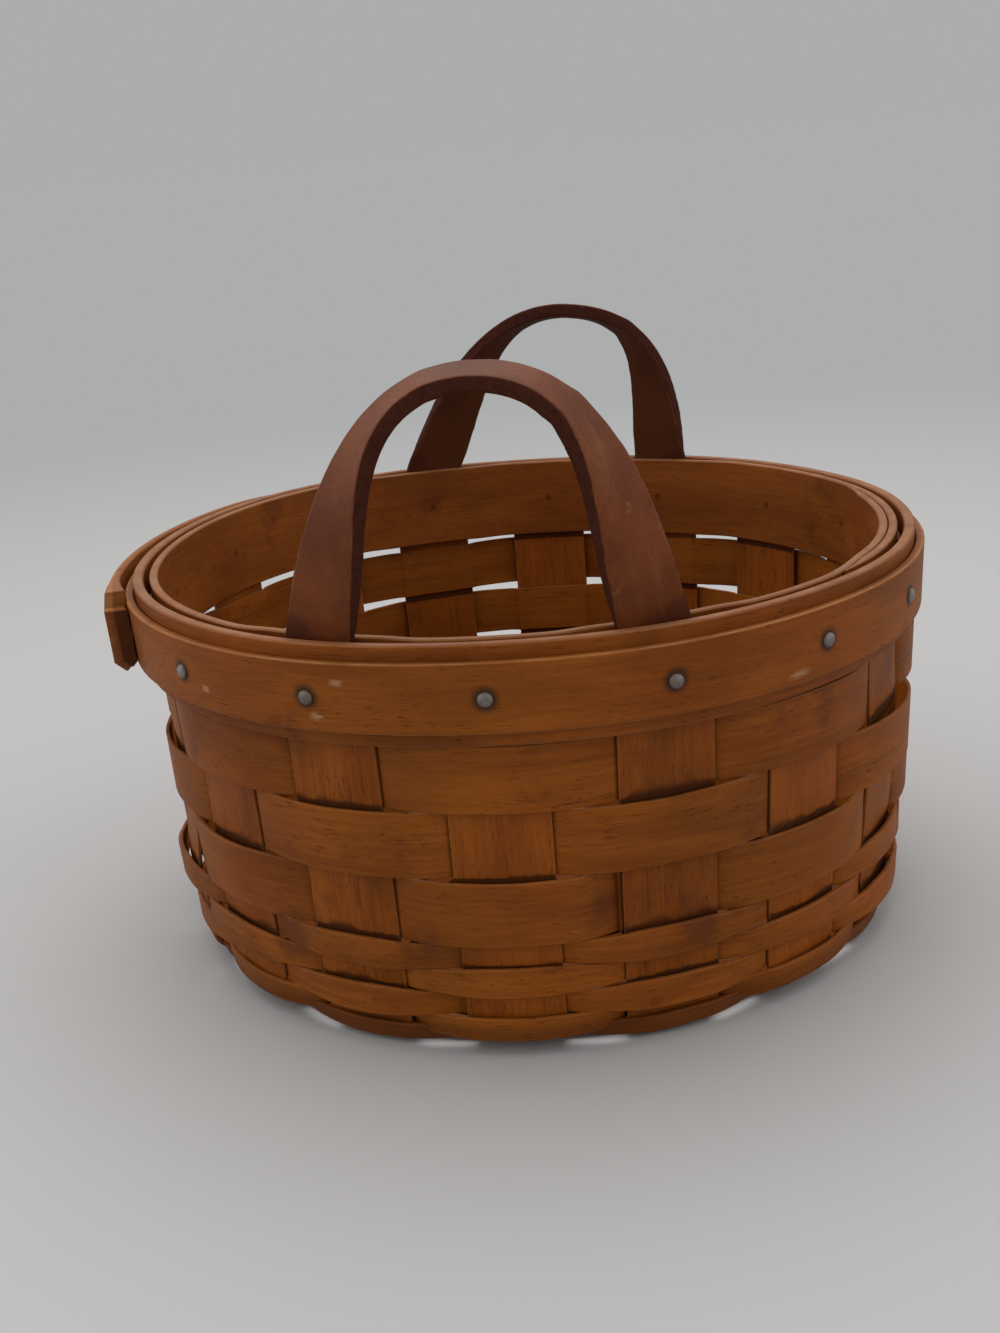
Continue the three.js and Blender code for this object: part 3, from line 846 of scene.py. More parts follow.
def woven_strip_tree():
    group, tree, given = start_growth(
        "woven_strip", "Strip",
        Float=("Row Radius", "Row Height", "Row Lean", "Strip Width", "Strip Thickness", "Swing Out",
               "Swing In", "Stake Hold", "End Reach", "Wander", "Unevenness", "Back Sag", "Back Narrowing",
               "Arch Widening", "Flare", "Right Swell", "Left Swell", "Right Slack", "Left Slack",
               "Lap Stake", "Row Number", "Seed"),
        Int=("Steps per Stake",), Material=("Finish",))
    # Stakes passed so far, from just before the lap to just past it one turn later
    turns = tree.times_plus(given["End Reach"], 2.0, float(STAKES))
    count = tree.math("CEIL", tree.times(turns, given["Steps per Stake"]))
    line = tree.first("GeometryNodeCurvePrimitiveLine", {"End": (1, 0, 0)})
    dots = tree.first("GeometryNodeResampleCurve", {"Curve": line, "Count": count})
    order = tree.first("GeometryNodeInputIndex")
    share = tree.over(order, tree.minus(count, 1.0))
    passed = tree.minus(tree.times(share, turns), given["End Reach"])
    stake = tree.math("ROUND", passed)
    aside = tree.math("ABSOLUTE", tree.minus(passed, stake))
    # Pressed flat behind one stake, then arching out over the next
    number = tree.plus(tree.plus(stake, given["Lap Stake"]), given["Row Number"])
    front = tree.math("FLOORED_MODULO", number, 2.0)
    from_tuck = tree.math("ABSOLUTE", tree.minus(front, aside))
    free = tree.over(tree.minus(from_tuck, given["Stake Hold"]), tree.minus(1.0, given["Stake Hold"]))
    free = tree.math("MINIMUM", tree.math("MAXIMUM", free, 0.0), 1.0)
    arch = tree.math("SQRT", tree.math("SINE", tree.times(free, QUARTER_TURN)))
    angle = tree.times(tree.plus(passed, given["Lap Stake"]), STAKE_PITCH)

    def near(middle):
        turn = tree.math("WRAP", tree.minus(angle, middle), math.pi, -math.pi)
        turn = tree.over(turn, SWELL_SPREAD)
        return tree.math("EXPONENT", tree.times(tree.times(turn, turn), -1.0))

    right, left = near(RIGHT_SWELL[0]), near(LEFT_SWELL[0])
    swelled = tree.times_plus(right, given["Right Swell"], tree.times(left, given["Left Swell"]))
    slack = tree.times_plus(right, given["Right Slack"], tree.times(left, given["Left Slack"]))
    out = tree.times(arch, tree.plus(given["Swing Out"], slack))
    inward = tree.times(tree.minus(1.0, arch), given["Swing In"])
    lapped = tree.ramp(passed, STAKES - LAP_START, STAKES - LAP_FULL)
    inward = tree.times_plus(lapped, tree.times(given["Strip Thickness"], LAP_STEP), inward)
    pace = tree.times_plus(passed, WANDER_PACE, given["Seed"])
    drift = tree.node("ShaderNodeTexNoise", {"W": pace, "Scale": 1.0, "Detail": 1.0}, noise_dimensions="1D")
    drift = tree.times(tree.times_plus(drift.outputs["Fac"], 2.0, -1.0), given["Wander"])
    # Place of the strip's middle, and the way its face looks
    behind = tree.times_plus(tree.math("COSINE", angle), -0.5, 0.5)
    drift = tree.minus(drift, tree.times(behind, given["Back Sag"]))
    lean_cos = tree.math("COSINE", given["Row Lean"])
    lean_sin = tree.math("SINE", given["Row Lean"])
    # An arch at the corner stands straighter than the stake it crosses
    flared = tree.minus(given["Row Lean"], given["Flare"])
    radius = tree.times_plus(out, tree.math("COSINE", flared), swelled)
    radius = tree.plus(given["Row Radius"], radius)
    radius = tree.minus(radius, tree.times(inward, lean_cos))
    radius = tree.plus(radius, tree.times(drift, lean_sin))
    height = tree.minus(given["Row Height"], tree.times(out, tree.math("SINE", flared)))
    height = tree.times_plus(inward, lean_sin, height)
    height = tree.times_plus(drift, lean_cos, height)
    tilt = tree.minus(given["Row Lean"], tree.times(arch, given["Flare"]))
    tilt_cos = tree.math("COSINE", tilt)
    fall = tree.times(tree.math("SINE", tilt), -1.0)
    east = tree.math("SINE", angle)
    north = tree.times(tree.math("COSINE", angle), -1.0)
    middle = tree.combine(tree.times(east, radius), tree.times(north, radius), height)
    facing = tree.combine(tree.times(east, tilt_cos), tree.times(north, tilt_cos), fall)
    path = tree.first("GeometryNodeSetPosition", {"Geometry": dots, "Position": middle})
    path = tree.first("GeometryNodeSetCurveNormal", {"Curve": path, "Normal": facing}, mode="FREE")
    length = tree.times(tree.times(passed, STAKE_PITCH), given["Row Radius"])
    path = tree.store(path, "along", length)
    path = tree.store(path, "swing", tree.times_plus(arch, 2.0, -1.0))
    # The strip's section, with its corners taken off
    sides = {"Width": given["Strip Thickness"], "Height": given["Strip Width"]}
    flat = tree.first("GeometryNodeCurvePrimitiveQuadrilateral", sides)
    chamfer = tree.times(given["Strip Thickness"], WEAVER_CHAMFER)
    corners = {"Curve": flat, "Count": 1, "Limit Radius": True, "Radius": chamfer}
    flat = tree.first("GeometryNodeFilletCurve", corners, mode="POLY")
    spot = tree.first("GeometryNodeInputPosition")
    flat = tree.store(flat, "section", spot, "FLOAT_VECTOR")
    # A narrow strip is pinched where it dives behind a stake
    slim = tree.minus(1.0, tree.times(behind, given["Back Narrowing"]))
    slim = tree.times_plus(tree.ramp(from_tuck, *PINCH), given["Arch Widening"], slim)
    drawn = {"Curve": path, "Profile Curve": flat, "Scale": slim, "Fill Caps": True}
    strip = tree.first("GeometryNodeCurveToMesh", drawn)
    # Split wood is never quite even
    lumps = tree.node("ShaderNodeTexNoise", {"Vector": spot, "Scale": LUMP_SCALE, "Detail": 1.0})
    lumps = tree.vector("SUBTRACT", {0: lumps.outputs["Color"], 1: HALF_GREY})
    lumps = tree.vector("SCALE", {0: lumps, "Scale": given["Unevenness"]})
    strip = tree.first("GeometryNodeSetPosition", {"Geometry": strip, "Offset": lumps})
    section = tree.parts(tree.stored("section", "FLOAT_VECTOR"))
    grain = tree.combine(tree.stored("along"), section[1], section[0])
    strip = tree.store(strip, "grain", grain, "FLOAT_VECTOR")
    end_growth(tree, strip, given["Finish"])
    return group


woven = woven_strip_tree()

# The wide rows have slipped down and shrunk a little at the back, and some stand off at the sides
BACK_SAG = (0.9, 0.7, 1.0)
BACK_NARROWING = (0.09, 0.13, 0.08)
WIDE_RIGHT_SLACK = (1.6, 1.6, 1.0)
WIDE_LEFT_SLACK = 0.3
FOOT_SLACK = (0.4, 0.1)
FOOT_WIDENING = 0.26

# How far the rows swing out and in, and how far they wander
WALL_SWING = (1.75, 0.95)
BASE_SWING = (1.2, 1.2)
WIDE_WANDER = 0.4
FOOT_WANDER = 0.25
BASE_WANDER = 0.2

# Each corner row: share of the bend, width, swing out and in, wander, and flare in degrees
CORNER_ROWS = ((0.2, 5.2, (2.1, 1.8), 0.15, 15), (0.46, 4.6, (1.75, 1.5), 0.1, 24))

# The outermost base row is wider and reaches into the bend
BEND_REACH = 1.8

# Height of the lumps, how long a strip lies flat behind a stake, and how far its ends pass the lap
UNEVENNESS = 0.5
STAKE_HOLD = 0.305
END_REACH = 0.33
STEPS_PER_STAKE = 40
SEED_STEP = 3.1
LAP_SPACING = 5


def lap_stake(number):
    """The stake behind which a row laps, a few stakes on from the row above."""
    turn = (number * LAP_SPACING) % STAKES
    return turn + 1 if (turn + number) % 2 else turn


def weave(order, name, spot, width, swing, wander, finish=narrow_wood, flare=0.0, slack=(0.0, 0.0), sag=0.0,
          narrowing=0.0, widening=0.0, uneven=UNEVENNESS):
    """One row, from its place on the splints, its width and how loosely it lies."""
    number = order + 1 - WIDE_ROWS - FOOT_ROWS
    radius, height, turn = spot
    # The swell dies out round the corner
    swelled = 1 - smooth((turn - WALL_LEAN) / CORNER_SWEEP)
    lengths = {
        "Row Radius": radius, "Row Height": height, "Strip Width": width, "Strip Thickness": WEAVER_THICK,
        "Swing Out": swing[0], "Swing In": swing[1], "Wander": wander, "Unevenness": uneven, "Back Sag": sag,
        "Right Slack": slack[0], "Left Slack": slack[1],
        "Right Swell": swell_at(height, RIGHT_SWELL) * swelled,
        "Left Swell": swell_at(height, LEFT_SWELL) * swelled,
    }
    values = {label: length * MM for label, length in lengths.items()}
    values.update({
        "Row Lean": turn, "Flare": math.radians(flare), "Stake Hold": STAKE_HOLD, "End Reach": END_REACH,
        "Back Narrowing": narrowing, "Arch Widening": widening, "Lap Stake": float(lap_stake(number)),
        "Row Number": float(number), "Seed": SEED_STEP * order, "Steps per Stake": STEPS_PER_STAKE,
        "Finish": finish,
    })
    piece = grown(name + "_wood", woven, values)
    set_even(piece, "tone", tones.random())
    keep(piece, None, "weaver_wood", name)


for i in range(WIDE_ROWS):
    spot = on_wall((i + 0.5) * wide_pitch)
    slack = (WIDE_RIGHT_SLACK[i], WIDE_LEFT_SLACK)
    weave(i, f"wall_weaver_{i + 1}", spot, wide_width, WALL_SWING, WIDE_WANDER, wide_wood,
          slack=slack, sag=BACK_SAG[i], narrowing=BACK_NARROWING[i])
for i in range(FOOT_ROWS):
    spot = on_wall(WIDE_ROWS * wide_pitch + (i + 0.5) * NARROW_PITCH)
    weave(WIDE_ROWS + i, f"foot_weaver_{i + 1}", spot, narrow_width, WALL_SWING, FOOT_WANDER,
          slack=FOOT_SLACK, widening=FOOT_WIDENING)
for i, (share, width, swing, wander, flare) in enumerate(CORNER_ROWS):
    order = WIDE_ROWS + FOOT_ROWS + i
    weave(order, f"corner_weaver_{i + 1}", on_corner(share), width, swing, wander, flare=flare)
for i in range(BASE_ROWS):
    order = WIDE_ROWS + FOOT_ROWS + len(CORNER_ROWS) + i
    reach = BEND_REACH if i == 0 else 0.0
    spot = (base_edge + reach / 2 - (i + 0.5) * base_pitch, BASE_LEVEL, QUARTER_TURN)
    width = base_pitch - BASE_ROW_GAP + reach
    weave(order, f"base_weaver_{i + 1}", spot, width, BASE_SWING, BASE_WANDER, uneven=0.0)


# Rim bands

# The rim has been pushed up a little at the back left, and waves a little: height, waves and start
RIM_LIFT = 1.3
RIM_LIFT_MIDDLE = math.radians(-132)
RIM_LIFT_SPREAD = math.radians(30)
RIM_WAVES = ((0.13, 3, 0.6), (0.09, 7, 1.9))
BAND_CHAMFER = 0.16
BAND_FACE_STEPS = 2
BAND_STEP = math.radians(1.5)
HOOP_STEPS = 240

# Where the outer and inner bands start and end, and how they lap
OUTER_START = math.radians(-128)
OUTER_TIP = math.radians(-65.5) + FULL_TURN
OUTER_LAP_RAMP = math.radians(9)
OUTER_LAP_SHARE = 0.8
OUTER_LAP_STEP = 2.15
INNER_START = math.radians(54)
INNER_TIP = math.radians(110) + FULL_TURN
INNER_SHAVE = math.radians(9)
INNER_LAP_LEAD = 0.55
INNER_LAP_RUN = 1.75
SHAVED_SHARE = 0.15

# The lapped end of the outer band rides higher, and its cracked tip stands out
LAP_RISE_START = math.radians(-150) + FULL_TURN
LAP_RISE_RUN = math.radians(30)
LAP_RISE = 2.4
LAP_SAG = 1.1
TIP_SPRING = 1.2
TIP_FINE = math.radians(4)
TIP_STEP = math.radians(0.15)
CRACK = 4.6
CRACK_EDGE = 0.5
CRACK_DROP = 3.4
CRACK_SPRING = 0.7
SPLAY_RUN = CRACK * 4
SPLAY_THICK = 1.45
SPLAY_INWARD = 1.7
END_RUN = 1.9
END_THINNING = 0.42
END_RISE = 1.6
END_DARK_POWER = 1.5
TAPER_RUN = 7.0
TAPER_LEAD = 1.2
TAPER_SHARE = 0.46
WHOLE_END = (0, 0, 0, 0, 0)


def rim_wave(angle):
    waves = sum(rise * math.sin(count * angle + start) for rise, count, start in RIM_WAVES)
    return waves + RIM_LIFT * bell(turn_between(angle, RIM_LIFT_MIDDLE), RIM_LIFT_SPREAD)


def broken_tip(angle, tip):
    """How far a lapped end has risen, splayed, cracked, tapered and ended at an angle."""
    left = (tip - angle) * TACK_FACE
    risen = smooth((angle - LAP_RISE_START) / LAP_RISE_RUN)
    splayed = smooth(1 - left / SPLAY_RUN)
    cracked = smooth((CRACK - left) / CRACK_EDGE)
    tapered = smooth(TAPER_LEAD - left / TAPER_RUN)
    ended = min(max((END_RUN - left) / END_RUN, 0), 1)
    return risen, splayed, cracked, tapered, ended


def band(name, angles, inside, thick, top, bottom, finish, closed=False, shave=0.0, broken=False):
    """A strip round the wall; inside gives its inner face at lip height for an angle."""
    rings, grains, ends = [], [], []
    for angle in angles:
        from_end = min(angle - angles[0], angles[-1] - angle)
        slim = mix(thick * SHAVED_SHARE, thick, smooth(from_end / shave)) if shave else thick
        # A shaved end thins from its inner face
        set_back = thick - slim
        # A cracked tip has splayed thicker and taller, stands out and has lost its upper corner
        tip = broken_tip(angle, angles[-1]) if broken else WHOLE_END
        risen, splayed, cracked, tapered, ended = tip
        slim *= (1 + SPLAY_THICK * splayed) * (1 - END_THINNING * ended)
        set_back -= SPLAY_INWARD * splayed
        upper = top + LAP_RISE * risen - CRACK_DROP * cracked
        lower = bottom - LAP_SAG * risen + END_RISE * ended
        chamfer = min(slim, thick) * BAND_CHAMFER
        low_chamfer = mix(chamfer, slim * TAPER_SHARE, tapered)
        section = strip_section(upper - lower, slim, chamfer, BAND_FACE_STEPS, low_chamfer)
        middle = inside(angle) + set_back + slim / 2 + CRACK_SPRING * cracked
        ring = []
        for across, depth in section:
            height = (upper + lower) / 2 + across + rim_wave(angle)
            radius = middle + depth - (LIP_HEIGHT - height) * math.tan(WALL_LEAN)
            ring.append(at(angle, radius, height))
        rings.append(ring)
        grains.append([(angle * TACK_FACE, a, d) for a, d in section])
        ends += [ended ** END_DARK_POWER] * len(section)
    piece = ring_mesh(name + "_wood", rings, grains, closed, {"broken_end": ends})
    set_even(piece, "tone", tones.random())
    set_even(piece, "swing", 0.0)
    keep(piece, finish, "band_wood", name)


def steps_between(start, end, step):
    count = max(1, round((end - start) / step))
    return [start + (end - start) * i / count for i in range(count + 1)]


def hoop_inside(angle):
    return HOOP_INSIDE


def outer_inside(angle):
    last_tack = LAP_TACK * STAKE_PITCH
    loose = max(0.0, (angle - last_tack) / (OUTER_TIP - last_tack))
    climb = angle - (OUTER_START + FULL_TURN - OUTER_LAP_RAMP)
    lapped = smooth(climb / (OUTER_LAP_RAMP * OUTER_LAP_SHARE))
    return HOOP_INSIDE + HOOP_THICK + CLEARANCE + OUTER_LAP_STEP * lapped + TIP_SPRING * loose ** 2


# The inner band bows inwards round the ears' feet
FOOT_STAKES = (1, 7, 9, 15)
FOOT_REACH = math.radians(7.6)
BOW_RUN = STAKE_PITCH / 3


def foot_bow(angle):
    nearest = min(abs(turn_between(angle, stake * STAKE_PITCH)) for stake in FOOT_STAKES)
    return (EAR_TONGUE + CLEARANCE) * smooth(1 - (nearest - FOOT_REACH) / BOW_RUN)


def inner_inside(angle):
    outer_face = STAKE_LIP - SPLINT_THICK / 2 - CLEARANCE - foot_bow(angle)
    climb = angle - (INNER_START + FULL_TURN - INNER_SHAVE * INNER_LAP_LEAD)
    lapped = smooth(climb / (INNER_SHAVE * INNER_LAP_RUN))
    return outer_face - INNER_BAND_THICK - (INNER_BAND_THICK + CLEARANCE) * lapped


hoop_run = [FULL_TURN * i / HOOP_STEPS for i in range(HOOP_STEPS)]
outer_run = steps_between(OUTER_START, OUTER_TIP - TIP_FINE, BAND_STEP)
outer_run += steps_between(OUTER_TIP - TIP_FINE, OUTER_TIP, TIP_STEP)[1:]
inner_run = steps_between(INNER_START, INNER_TIP, BAND_STEP)
outer_bottom = OUTER_BAND_TOP - OUTER_BAND_HEIGHT
band("rim_hoop", hoop_run, hoop_inside, HOOP_THICK, LIP_HEIGHT, wall_top, hoop_wood, closed=True)
band("outer_band", outer_run, outer_inside, OUTER_BAND_THICK, OUTER_BAND_TOP, outer_bottom, band_wood,
     broken=True)
band("inner_band", inner_run, inner_inside, INNER_BAND_THICK, LIP_HEIGHT, wall_top, inner_wood,
     shave=INNER_SHAVE)


# Leather ears

# A strap's section: rounding of its corners, and where its sides and faces are divided
ROUNDING = 0.7
ROUNDING_SHARE = 0.3
ROUNDING_STEPS = 4
SIDE_SPANS = (0.5, 0, -0.5)
FACE_SPANS = (0.97, 0.8, 0.4, 0, -0.4, -0.8, -0.97)
CUT_POWER = 1.5

# How the legs bend into the crown, and the length over which the feet are thinned
SHOULDER_PULL = 0.74
LEG_PULL = 0.47
CROWN_OUT = 2.4
SKIVE_LENGTH = 9
ARCH_POINTS = 400
EAR_STEPS = 48
TAIL_STEPS = 6
HEADING_REACH = 0.01

# Soft folds, and edges that were cut by hand
FOLD_SPREAD = 1.8
EDGE_WAVES = (0.42, 0.4)
EDGE_ROUGH = 0.3
BACK_EDGE_SEED = 5


def strap_section(width, thick):
    """A strap's section with rounded sides: (across, depth, share of cut side)."""
    half, deep, round_off = width / 2, thick / 2, min(ROUNDING, thick * ROUNDING_SHARE)
    points = []
    corners = ((1, 1, 90), (1, -1, 0), (-1, -1, -90), (-1, 1, 180))
    for a_sign, d_sign, first in corners:
        for i in range(ROUNDING_STEPS + 1):
            turn = math.radians(first - 90 * i / ROUNDING_STEPS)
            a = a_sign * (half - round_off) + round_off * math.cos(turn)
            d = d_sign * (deep - round_off) + round_off * math.sin(turn)
            points.append((a, d, abs(math.cos(turn)) ** CUT_POWER))
        if a_sign == d_sign:
            points += [(a_sign * half, d_sign * f * (deep - round_off), 1.0) for f in SIDE_SPANS]
        else:
            points += [(a_sign * f * (half - round_off), d_sign * deep, 0.0) for f in FACE_SPANS]
    return points


def ear_half(side, sink, drift, foot_shift):
    """One leg up to the crown: (middle, heading, across, width, thickness, length from the lip)."""
    mirror = Matrix.Diagonal(Vector((side, 1, 1)))
    up_wall = outward(STAKE_PITCH) * math.sin(WALL_LEAN) + Vector((0, 0, math.cos(WALL_LEAN)))
    beside = sideways(STAKE_PITCH)
    foot = mirror @ at(STAKE_PITCH, EAR_SEAT, LIP_HEIGHT, -foot_shift)
    leg_up = mirror @ (up_wall * math.cos(LEG_LEAN) - beside * math.sin(LEG_LEAN))
    leg_across = mirror @ (beside * math.cos(LEG_LEAN) + up_wall * math.sin(LEG_LEAN))
    rise = EAR_RISE - sink - EAR_THICK / 2
    pull = abs(foot.x) * SHOULDER_PULL * side
    crown = Vector((drift, foot.y - CROWN_OUT, LIP_HEIGHT + rise))
    bend = foot + leg_up * rise * LEG_PULL + Vector((drift, -CROWN_OUT / 2, 0)) * LEG_PULL
    shoulder = crown + Vector((pull, 0, -drift / (3 * rise) * pull))
    crown_across = Vector((0, math.cos(CROWN_TILT), math.sin(CROWN_TILT)))

    def on_arch(t):
        lower = foot * (1 - t) ** 3 + bend * 3 * t * (1 - t) ** 2
        return lower + shoulder * 3 * t * t * (1 - t) + crown * t ** 3

    fine = [on_arch(i / ARCH_POINTS) for i in range(ARCH_POINTS + 1)]
    lengths = [0.0]
    for i in range(ARCH_POINTS):
        lengths.append(lengths[-1] + (fine[i + 1] - fine[i]).length)

    def by_length(u):
        wanted = u * lengths[-1]
        i = max(1, bisect.bisect_left(lengths, wanted))
        share = (wanted - lengths[i - 1]) / (lengths[i] - lengths[i - 1])
        return fine[i - 1].lerp(fine[i], share)

    stations = []
    for i in range(TAIL_STEPS):
        below = (EAR_TAIL + sink) * (1 - i / TAIL_STEPS)
        stations.append((foot - leg_up * below, leg_up, leg_across, EAR_FOOT_WIDTH, EAR_TONGUE, -below))
    for i in range(EAR_STEPS + 1):
        u = i / EAR_STEPS
        risen = u * lengths[-1]
        ahead = by_length(min(u + HEADING_REACH, 1)) - by_length(max(u - HEADING_REACH, 0))
        heading = leg_up if i == 0 else ahead.normalized()
        if i == EAR_STEPS:
            heading = (crown - shoulder).normalized()
        wide = leg_across.lerp(crown_across, smooth(u))
        width = mix(EAR_FOOT_WIDTH, EAR_CROWN_WIDTH, u)
        thick = mix(EAR_TONGUE, EAR_THICK, smooth(risen / SKIVE_LENGTH))
        stations.append((by_length(u), heading, wide, width, thick, risen))
    return stations


def ear(name, sink, drift, turned, foot_shifts, folds):
    """One ear, with the shift of its right and left foot, and a soft fold on each side of its crown."""
    turn = Matrix.Rotation(math.pi if turned else 0, 3, "Z")
    edge_seed = BACK_EDGE_SEED if turned else 0
    right = ear_half(1, sink, drift, foot_shifts[0])
    left = ear_half(-1, sink, drift, foot_shifts[1])
    right_length, left_length = right[-1][-1], left[-1][-1]
    whole = [(s, 1, s[-1], right_length - s[-1], folds[0]) for s in right]
    for s in reversed(left[:-1]):
        whole.append((s, -1, right_length + left_length - s[-1], left_length - s[-1], folds[1]))
    rings, grains, cuts, feet = [], [], [], []
    for station, side, along, from_crown, (fold_place, fold_depth) in whole:
        middle, heading, wide, width, thick, risen = station
        across_way = (wide - heading * wide.dot(heading)).normalized()
        face_way = across_way.cross(heading) * side
        fold = fold_depth * bell(from_crown - fold_place, FOLD_SPREAD)
        ring, grain = [], []
        for a, d, cut in strap_section(width, thick):
            spot = Vector((along * EDGE_WAVES[0], a * EDGE_WAVES[1], d + edge_seed))
            rough = noise.noise(spot) * EDGE_ROUGH
            ring.append(turn @ (middle + across_way * (a + math.copysign(rough, a)) + face_way * (d + fold)))
            grain.append((along, a, d))
            cuts.append(cut)
            feet.append(risen * MM)
        rings.append(ring)
        grains.append(grain)
    extras = {"cut": cuts, "foot": feet}
    piece = ring_mesh(name + "_leather", rings, grains, extras=extras, sharp=STRAP_SHARP)
    set_even(piece, "tone", tones.random())
    keep(piece, leather, "ear_leather", name)


# A fold is given as its distance from the crown and its depth
ear("ear_front", sink=0, drift=1.2, turned=False, foot_shifts=(1.5, 0.2), folds=((18.5, 0.3), (9.0, 0.12)))
ear("ear_back", sink=6, drift=-9, turned=True, foot_shifts=(1.5, -0.3), folds=((14.0, 0.05), (16.5, 0.25)))


# Tacks: one geometry tree sets a domed tack at every stake

# Sizes of a tack, and how far it strays, tips and spins
HEAD_RADIUS = 1.55
HEAD_HEIGHT = 0.9
HEAD_UNDERSIDE = -0.25
HEAD_SEGMENTS = 20
HEAD_RINGS = 12
SHANK_RADIUS = 0.6
SHANK_LENGTH = 7.8
SHANK_TIP = 0.55
SHANK_SIDES = 10
TACK_STRAY = 0.3
TACK_TIP = 0.10
TACK_SPIN = 6.28
TACK_LAP_STEP = 2.3
TACK_SEED = 4
TIP_SEED_STEP = 5
SAME_TACK = 0.1


def tack_row_tree():
    group, tree, given = start_growth(
        "tack_row", "Tack Row",
        Int=("Tacks", "Seed"),
        Float=("Ring Radius", "Ring Height", "Wall Lean", "Head Radius", "Head Height", "Shank Radius",
               "Shank Length", "Stray", "Lap Tack", "Lap Step"),
        Material=("Finish",))
    # One tack, its head's underside at zero and its shank down
    globe = {"Segments": HEAD_SEGMENTS, "Rings": HEAD_RINGS, "Radius": 1.0}
    ball = tree.first("GeometryNodeMeshUVSphere", globe)
    x, y, z = tree.parts(tree.first("GeometryNodeInputPosition"))
    dome = tree.times(tree.math("MAXIMUM", z, HEAD_UNDERSIDE), given["Head Height"])
    domed = tree.combine(tree.times(x, given["Head Radius"]), tree.times(y, given["Head Radius"]), dome)
    head = tree.first("GeometryNodeSetPosition", {"Geometry": ball, "Position": domed})
    shank = tree.first("GeometryNodeMeshCone", {
        "Vertices": SHANK_SIDES, "Radius Top": given["Shank Radius"],
        "Radius Bottom": tree.times(given["Shank Radius"], SHANK_TIP), "Depth": given["Shank Length"]})
    down = tree.combine(0.0, 0.0, tree.times(given["Shank Length"], -1.0))
    shank = tree.first("GeometryNodeTransform", {"Geometry": shank, "Translation": down})
    tack = tree.node("GeometryNodeJoinGeometry")
    for made in (head, shank):
        tree.feed(tack.inputs[0], made)
    # The ring of stakes
    line = tree.first("GeometryNodeMeshLine", {"Count": given["Tacks"]})
    order = tree.first("GeometryNodeInputIndex")
    angle = tree.times(order, STAKE_PITCH)
    lapped = tree.math("COMPARE", order, given["Lap Tack"], SAME_TACK)
    radius = tree.times_plus(lapped, given["Lap Step"], given["Ring Radius"])
    dip = tree.any_between(tree.times(given["Stray"], -1.0), given["Stray"], order, given["Seed"])
    east = tree.times(tree.math("SINE", angle), radius)
    north = tree.times(tree.math("COSINE", angle), tree.times(radius, -1.0))
    place = tree.combine(east, north, tree.plus(given["Ring Height"], dip))
    ring = tree.first("GeometryNodeSetPosition", {"Geometry": line, "Position": place})
    # Each tack leans its own way
    tip = tree.any_between(-TACK_TIP, TACK_TIP, order, tree.plus(given["Seed"], TIP_SEED_STEP))
    lay = tree.plus(tree.plus(given["Wall Lean"], QUARTER_TURN), tip)
    way = tree.first("FunctionNodeEulerToRotation", {0: tree.combine(lay, 0.0, angle)})
    spin = tree.any_between(0.0, TACK_SPIN, order, given["Seed"])
    own = tree.first("FunctionNodeEulerToRotation", {0: tree.combine(0.0, 0.0, spin)})
    turned = tree.first("FunctionNodeRotateRotation", {0: way, 1: own}, rotation_space="LOCAL")
    set_in = {"Points": ring, "Instance": tack.outputs[0], "Rotation": turned}
    end_growth(tree, tree.first("GeometryNodeInstanceOnPoints", set_in), given["Finish"])
    return group


tack_row = grown("tack_row", tack_row_tree(), {
    "Tacks": STAKES, "Ring Radius": (TACK_FACE - TACK_DROP * math.tan(WALL_LEAN)) * MM,
    "Ring Height": (LIP_HEIGHT - TACK_DROP) * MM, "Wall Lean": WALL_LEAN,
    "Head Radius": HEAD_RADIUS * MM, "Head Height": HEAD_HEIGHT * MM, "Shank Radius": SHANK_RADIUS * MM,
    "Shank Length": SHANK_LENGTH * MM, "Stray": TACK_STRAY * MM, "Lap Tack": float(LAP_TACK),
    "Lap Step": TACK_LAP_STEP * MM, "Seed": TACK_SEED, "Finish": steel,
})
keep(tack_row, None, "tack_steel", *[f"tack_{i + 1:02d}" for i in range(STAKES)])


# Floor, light and camera

FLOOR_REACH = 30.0
FLOOR_ROUGH = 0.9
AMBIENT = 0.68

# Each light: name, strength, spread, heading and height in degrees
LIGHTS = (
    ("light_above", 1.5, 60, 190, 62),
    ("light_left", 0.95, 80, -80, 20),
    ("light_right", 0.95, 80, 85, 20),
)

# The camera: lens and film height in millimetres, place in metres, and turns in degrees
LENS = 44.06
FILM_HEIGHT = 36
NEAREST = 0.01
CAMERA_PLACE = (0.03594, -0.37327, 0.17659)
CAMERA_TURNS = ((6.618, "Z"), (72.22, "X"), (-4.619, "Z"))


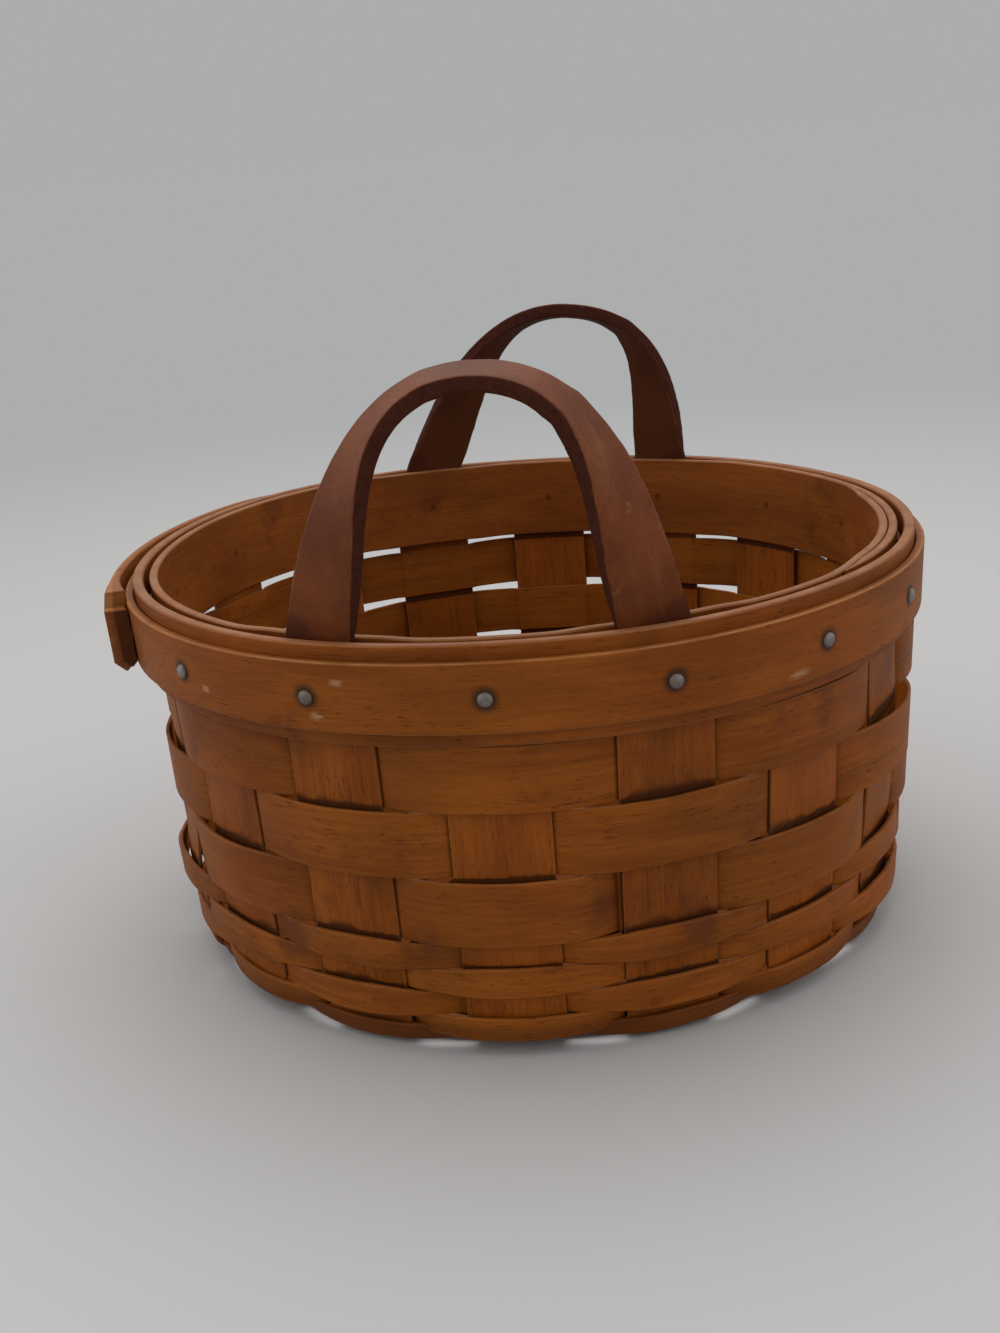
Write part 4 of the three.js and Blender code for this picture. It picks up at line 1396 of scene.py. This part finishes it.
def pale_floor():
    mesh = bpy.data.meshes.new("floor")
    corners = [(x * FLOOR_REACH, y * FLOOR_REACH, 0) for x, y in ((-1, -1), (1, -1), (1, 1), (-1, 1))]
    mesh.from_pydata(corners, [], [(0, 1, 2, 3)])
    floor = bpy.data.objects.new("floor", mesh)
    bpy.context.scene.collection.objects.link(floor)
    finish, tree, shader = start_finish("floor_paper")
    # Painted fall-off of light: the floor is paler near the basket and darker far off
    away = tree.vector("LENGTH", {0: tree.place()}, "Value")
    tint = tree.blend(tree.strength("painted_floor_falloff", away), FLOOR_NEAR, FLOOR_FAR)
    tree.feed(shader.inputs["Base Color"], tint)
    shader.inputs["Roughness"].default_value = FLOOR_ROUGH
    shader.inputs["Specular IOR Level"].default_value = 0.0
    mesh.materials.append(finish)


def soft_light(name, strength, spread, heading, tilt):
    lamp = bpy.data.lights.new(name, "SUN")
    lamp.energy = strength
    lamp.angle = math.radians(spread)
    holder = bpy.data.objects.new(name, lamp)
    bpy.context.scene.collection.objects.link(holder)
    tilt = math.radians(tilt)
    source = at(math.radians(heading), math.cos(tilt), math.sin(tilt))
    holder.rotation_euler = source.to_track_quat("Z", "Y").to_euler()


def plain_backdrop():
    """White light from all round, and a plain grey where the camera sees past the floor."""
    world = bpy.data.worlds.new("studio")
    world.use_nodes = True
    tree = Tree(world.node_tree)
    around = world.node_tree.nodes["Background"]
    tree.feed(around.inputs["Color"], WHITE)
    tree.feed(around.inputs["Strength"], AMBIENT)
    seen = tree.first("ShaderNodeBackground", {"Color": BACKDROP, "Strength": 1.0})
    sight = tree.node("ShaderNodeLightPath").outputs["Is Camera Ray"]
    both = tree.first("ShaderNodeMixShader", {0: sight, 1: around.outputs[0], 2: seen})
    tree.feed(world.node_tree.nodes["World Output"].inputs[0], both)
    bpy.context.scene.world = world


def front_camera():
    lens = bpy.data.cameras.new("camera")
    lens.sensor_fit = "VERTICAL"
    lens.sensor_height = FILM_HEIGHT
    lens.lens = LENS
    lens.clip_start = NEAREST
    camera = bpy.data.objects.new("camera", lens)
    bpy.context.scene.collection.objects.link(camera)
    stand = Matrix.Translation(CAMERA_PLACE)
    for turn, axis in CAMERA_TURNS:
        stand = stand @ Matrix.Rotation(math.radians(turn), 4, axis)
    camera.matrix_world = stand
    bpy.context.scene.camera = camera


pale_floor()
for light in LIGHTS:
    soft_light(*light)
plain_backdrop()
front_camera()
bpy.context.scene.view_settings.view_transform = "Standard"
